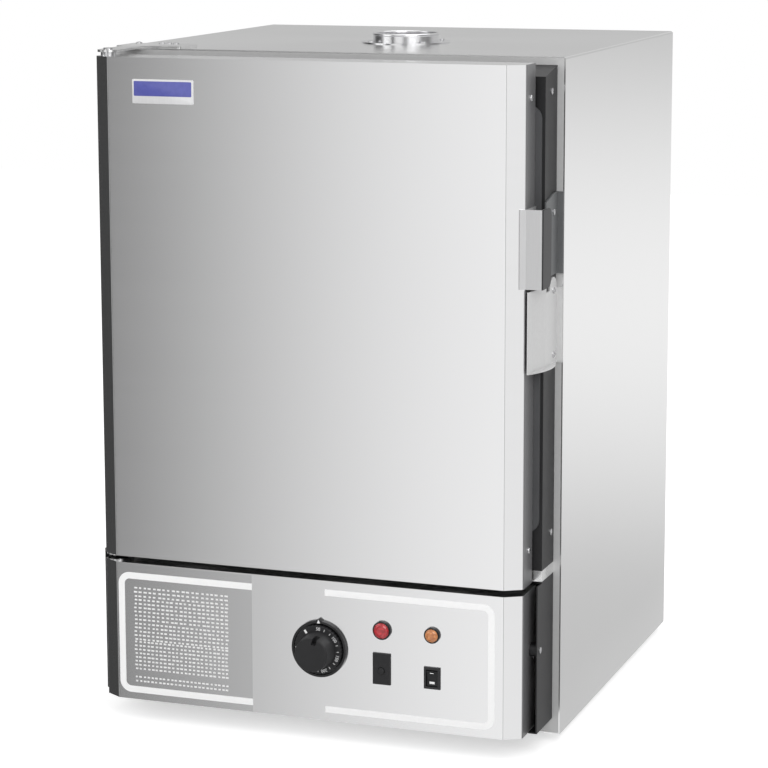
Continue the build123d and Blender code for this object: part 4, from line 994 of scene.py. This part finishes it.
steps_per_groove = 8
knob_piece = turned_knob("grip_knob", knob_section, groove_count * steps_per_groove)
notch_width, notch_inner, notch_outer, notch_depth = 4.4 * MM, 9.5 * MM, 19.0 * MM, 8.5 * MM
pointer_angle = math.radians(15)
notched(knob_piece, notch_width, notch_inner, notch_outer, notch_depth, pointer_angle)
knob_piece.data.materials.clear()
knob_piece.data.materials.append(finishes["black_plastic"])
soften(knob_piece, 30)
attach(knob_piece, "knob")
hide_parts("control_knob")
print("knob has", len(knob_piece.data.polygons), "faces")

# %% [markdown]
# ## Dial markings
# The knob's skirt has a scale in degrees, printed white: numbers with two ticks between each pair,
# and a bold bar at the off position. They turn with the knob. The ring behind the knob is fixed and
# has a small white triangle at the top, where the setting is read.

# %% Tick recipe
tick_recipe = Recipe("dial_ticks", {
    "Ticks": "NodeSocketInt", "Every": "NodeSocketInt", "Scale radius": "NodeSocketFloat",
    "Tick length": "NodeSocketFloat", "Tick width": "NodeSocketFloat", "Ink thickness": "NodeSocketFloat",
    "Place": "NodeSocketVector", "First angle": "NodeSocketFloat", "Step angle": "NodeSocketFloat",
    "Material": "NodeSocketMaterial"})


def draw_ticks(tree):
    size = tree.given
    stroke = tree.add("GeometryNodeMeshLine", {"mode": "OFFSET"},
                      {"Count": size["Ticks"], "Offset": (0, 0, 0)})["Mesh"]
    index = tree.add("GeometryNodeInputIndex")["Index"]
    angle = size["First angle"] + index * size["Step angle"]
    place = tree.add("ShaderNodeCombineXYZ", values={
        0: index.maths("SINE", angle, 0) * size["Scale radius"], 1: 0.0,
        2: index.maths("COSINE", angle, 0) * size["Scale radius"]})["Vector"]
    ring = tree.add("GeometryNodeSetPosition", values={"Geometry": stroke, "Position": place})["Geometry"]
    extent = tree.add("ShaderNodeCombineXYZ", values={0: size["Tick width"], 1: size["Ink thickness"],
                                                      2: size["Tick length"]})["Vector"]
    bar = tree.add("GeometryNodeMeshCube", values={"Size": extent})["Mesh"]
    turn_by = tree.add("FunctionNodeAxisAngleToRotation", values={
        "Axis": (0, 1, 0), "Angle": angle})["Rotation"]
    between = index.maths("MODULO", index, size["Every"]).above(0).below(1)
    bars = tree.add("GeometryNodeInstanceOnPoints", values={
        "Points": ring, "Instance": bar, "Rotation": turn_by, "Selection": between})["Instances"]
    moved = tree.add("GeometryNodeTransform", values={"Geometry": bars,
                                                      "Translation": size["Place"]})["Geometry"]
    tree.finish(moved)


draw_ticks(tick_recipe)

# %% Dial scale
dial_face = knob_high.y - skirt_depth
scale_radius = 19.7 * MM
number_step = math.radians(53)
first_number = math.radians(2)
ticks = grow("dial_ticks", tick_recipe, {
    "Ticks": 16, "Every": 3, "Scale radius": scale_radius, "Tick length": 2.2 * MM,
    "Tick width": 0.5 * MM, "Ink thickness": ink_thickness,
    "Place": (knob_x, dial_face - ink_thickness * 0.4, knob_z), "First angle": first_number,
    "Step angle": number_step / 3, "Material": small_ink.material})
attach(ticks, "knob")
print("skirt face at", round(dial_face / MM, 2), "mm,", len(ticks.data.polygons), "tick faces")

# %% Dial numbers
def number_mesh(words, height):
    """Flat lettering as a mesh, centred, in the XY plane."""
    curve = bpy.data.curves.new("number", "FONT")
    curve.body = words
    curve.size = height
    curve.align_x = "CENTER"
    curve.align_y = "CENTER"
    curve.extrude = ink_thickness / 2
    curve.resolution_u = 3
    holder = put_in_scene("number", curve)
    mesh = bpy.data.meshes.new_from_object(holder.evaluated_get(bpy.context.evaluated_depsgraph_get()))
    bpy.data.objects.remove(holder)
    return mesh


numbers = bmesh.new()
for count in range(6):
    angle = first_number + count * number_step
    mesh = number_mesh(str(50 * (count + 1)), 4.2 * MM)
    mesh.transform(Matrix.Translation((knob_x, dial_face - ink_thickness * 0.4, knob_z))
                   @ Matrix.Rotation(angle, 4, "Y") @ Matrix.Translation((0, 0, scale_radius))
                   @ Matrix.Rotation(math.pi / 2, 4, "X"))
    numbers.from_mesh(mesh)
number_data = mesh_from(numbers, "dial_numbers")
number_data.materials.append(small_ink.material)
dial_numbers = put_in_scene("dial_numbers", number_data)
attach(dial_numbers, "knob")
print("numbers", len(number_data.polygons), "faces")

# %% [markdown]
# ## Small printed marks
# The off bar on the skirt, the index triangle on the ring and the two marks on the rocker are small
# prisms of ink. One helper extrudes a flat outline towards the viewer. The rocker's marks are tilted
# as its paddle is, whose slope is read off the CAD mesh.

# %% Ink marks
def ink_mark(name, outline, level, body, material, thickness=ink_thickness, tilt=None):
    """A flat mark: outline is (x, z) in metres, level is the face that it lies on."""
    work = bmesh.new()
    rear = [work.verts.new((x, level + thickness * 0.1, z)) for x, z in outline]
    front_face = [work.verts.new((x, level - thickness * 0.9, z)) for x, z in outline]
    work.faces.new(rear)
    work.faces.new(list(reversed(front_face)))
    for i in range(len(outline)):
        j = (i + 1) % len(outline)
        work.faces.new((rear[j], rear[i], front_face[i], front_face[j]))
    bmesh.ops.recalc_face_normals(work, faces=work.faces)
    data = mesh_from(work, name)
    if tilt:
        data.transform(tilt)
    data.materials.append(material)
    mark = put_in_scene(name, data)
    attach(mark, body)
    return mark


def around_knob(angle, points):
    """Points of (sideways, outward) in millimetres, turned about the knob's axis."""
    turned_points = []
    for side, out in points:
        x = out * math.sin(angle) + side * math.cos(angle)
        z = out * math.cos(angle) - side * math.sin(angle)
        turned_points.append((knob_x + x * MM, knob_z + z * MM))
    return turned_points


bar_angle = math.radians(-35)
ink_mark("off_bar", around_knob(bar_angle, [(-1.0, 18.2), (1.0, 18.2), (1.0, 21.7), (-1.0, 21.7)]),
         dial_face, "knob", ink.material)
ring_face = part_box("dial_ring")[0].y
ink_mark("dial_index", around_knob(0, [(-1.5, 24.3), (1.5, 24.3), (0, 27.6)]),
         ring_face, "cabinet", ink.material)
print("off bar and index printed")

# %% Rocker marks
rocker_low, rocker_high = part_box("rocker_paddle")
rocker_x = (rocker_low.x + rocker_high.x) / 2
rocker_z = (rocker_low.z + rocker_high.z) / 2


def paddle_face(height):
    """How far forward the paddle stands at that height, read off its own mesh."""
    near = [vertex.co for vertex in nodes["rocker_paddle"].data.vertices]
    upper = min(near, key=lambda point: point.y - 0.2 * point.z)
    lower = min(near, key=lambda point: point.y + 0.2 * point.z)
    share = (height - lower.z) / (upper.z - lower.z)
    return lower.y + share * (upper.y - lower.y)


def rocker_mark(name, low_z, high_z, half_width):
    """A white rectangle on the paddle, between two heights."""
    level = paddle_face((low_z + high_z) / 2)
    lean = (paddle_face(high_z) - paddle_face(low_z)) / (high_z - low_z)
    centre = Vector((rocker_x, level, (low_z + high_z) / 2))
    tilt = (Matrix.Translation(centre) @ Matrix.Rotation(-math.atan(lean), 4, "X")
            @ Matrix.Translation(-centre))
    outline = [(rocker_x - half_width, low_z), (rocker_x + half_width, low_z),
               (rocker_x + half_width, high_z), (rocker_x - half_width, high_z)]
    return ink_mark(name, outline, level, "rocker", ink.material, tilt=tilt)


rocker_mark("rocker_dash", rocker_z + 4.4 * MM, rocker_z + 5.0 * MM, 1.7 * MM)
rocker_mark("rocker_block", rocker_z - 5.6 * MM, rocker_z - 3.4 * MM, 2.4 * MM)
rocker_lean = (paddle_face(rocker_z + MM) - paddle_face(rocker_z)) / MM
print("rocker leans", round(math.degrees(math.atan(rocker_lean)), 1), "degrees")

# %% [markdown]
# ## Name plate
# A small plate sits near the door's upper left corner. Here it is blank: a violet-blue enamel field
# over a plain lower strip, in a pale metal border whose edges are rounded over as stamping leaves them.

# %% Plate
plate_steel = Finish("plate_border", (0.80, 0.80, 0.81), 0.40, 0.35)
sheen = plate_steel.stretched((900, 900, 30), 2.0)
plate_steel.tint(sheen, (0.74, 0.74, 0.75), (0.86, 0.86, 0.87))
enamel = Finish("plate_enamel", (0.09, 0.10, 0.40), 0.30, Coat_Weight=0.6, Coat_Roughness=0.1)
flow = enamel.stretched((260, 260, 260), 2.0)
enamel.tint(flow, (0.075, 0.085, 0.34), (0.11, 0.12, 0.44))
enamel.relief(flow, 0.00004, 0.3)
door_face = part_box("door_skin")[0].y


def rounded_plate(name, centre_x, centre_z, width, height, corner, level, thickness, material):
    """A stamped plate with round corners and a rolled front edge, standing on the door's face."""
    outline = []
    for sx, sz, start in ((1, 1, 0), (-1, 1, 90), (-1, -1, 180), (1, -1, 270)):
        for step in range(7):
            angle = math.radians(start + step * 15)
            outline.append((sx * (width / 2 - corner) + corner * math.cos(angle),
                            sz * (height / 2 - corner) + corner * math.sin(angle)))
    layers = [(0.0, 0.0), (0.6, 0.0), (0.9, 0.12), (1.0, 0.35)]
    work = bmesh.new()
    rings = []
    for share, inset in layers:
        ring = []
        for x, z in outline:
            scale_x = 1 - 2 * inset * thickness / width
            scale_z = 1 - 2 * inset * thickness / height
            ring.append(work.verts.new((centre_x + x * scale_x, level - share * thickness,
                                        centre_z + z * scale_z)))
        rings.append(ring)
    for near, far in zip(rings, rings[1:]):
        for i in range(len(near)):
            j = (i + 1) % len(near)
            work.faces.new((near[i], near[j], far[j], far[i]))
    work.faces.new(rings[0])
    work.faces.new(rings[-1])
    bmesh.ops.recalc_face_normals(work, faces=work.faces)
    data = mesh_from(work, name)
    data.materials.append(material)
    plate = put_in_scene(name, data)
    soften(plate, 30)
    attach(plate, "door")
    return plate


plate_x, plate_z = -134 * MM, 594.5 * MM
rounded_plate("name_plate", plate_x, plate_z, 60 * MM, 22 * MM, 1.2 * MM, door_face, 0.9 * MM,
              plate_steel.material)
rounded_plate("name_plate_field", plate_x, plate_z + 2.6 * MM, 56.6 * MM, 13.4 * MM, 0.8 * MM,
              door_face - 0.85 * MM, 0.25 * MM, enamel.material)
print("plate at", round(plate_x / MM), round(plate_z / MM), "mm")
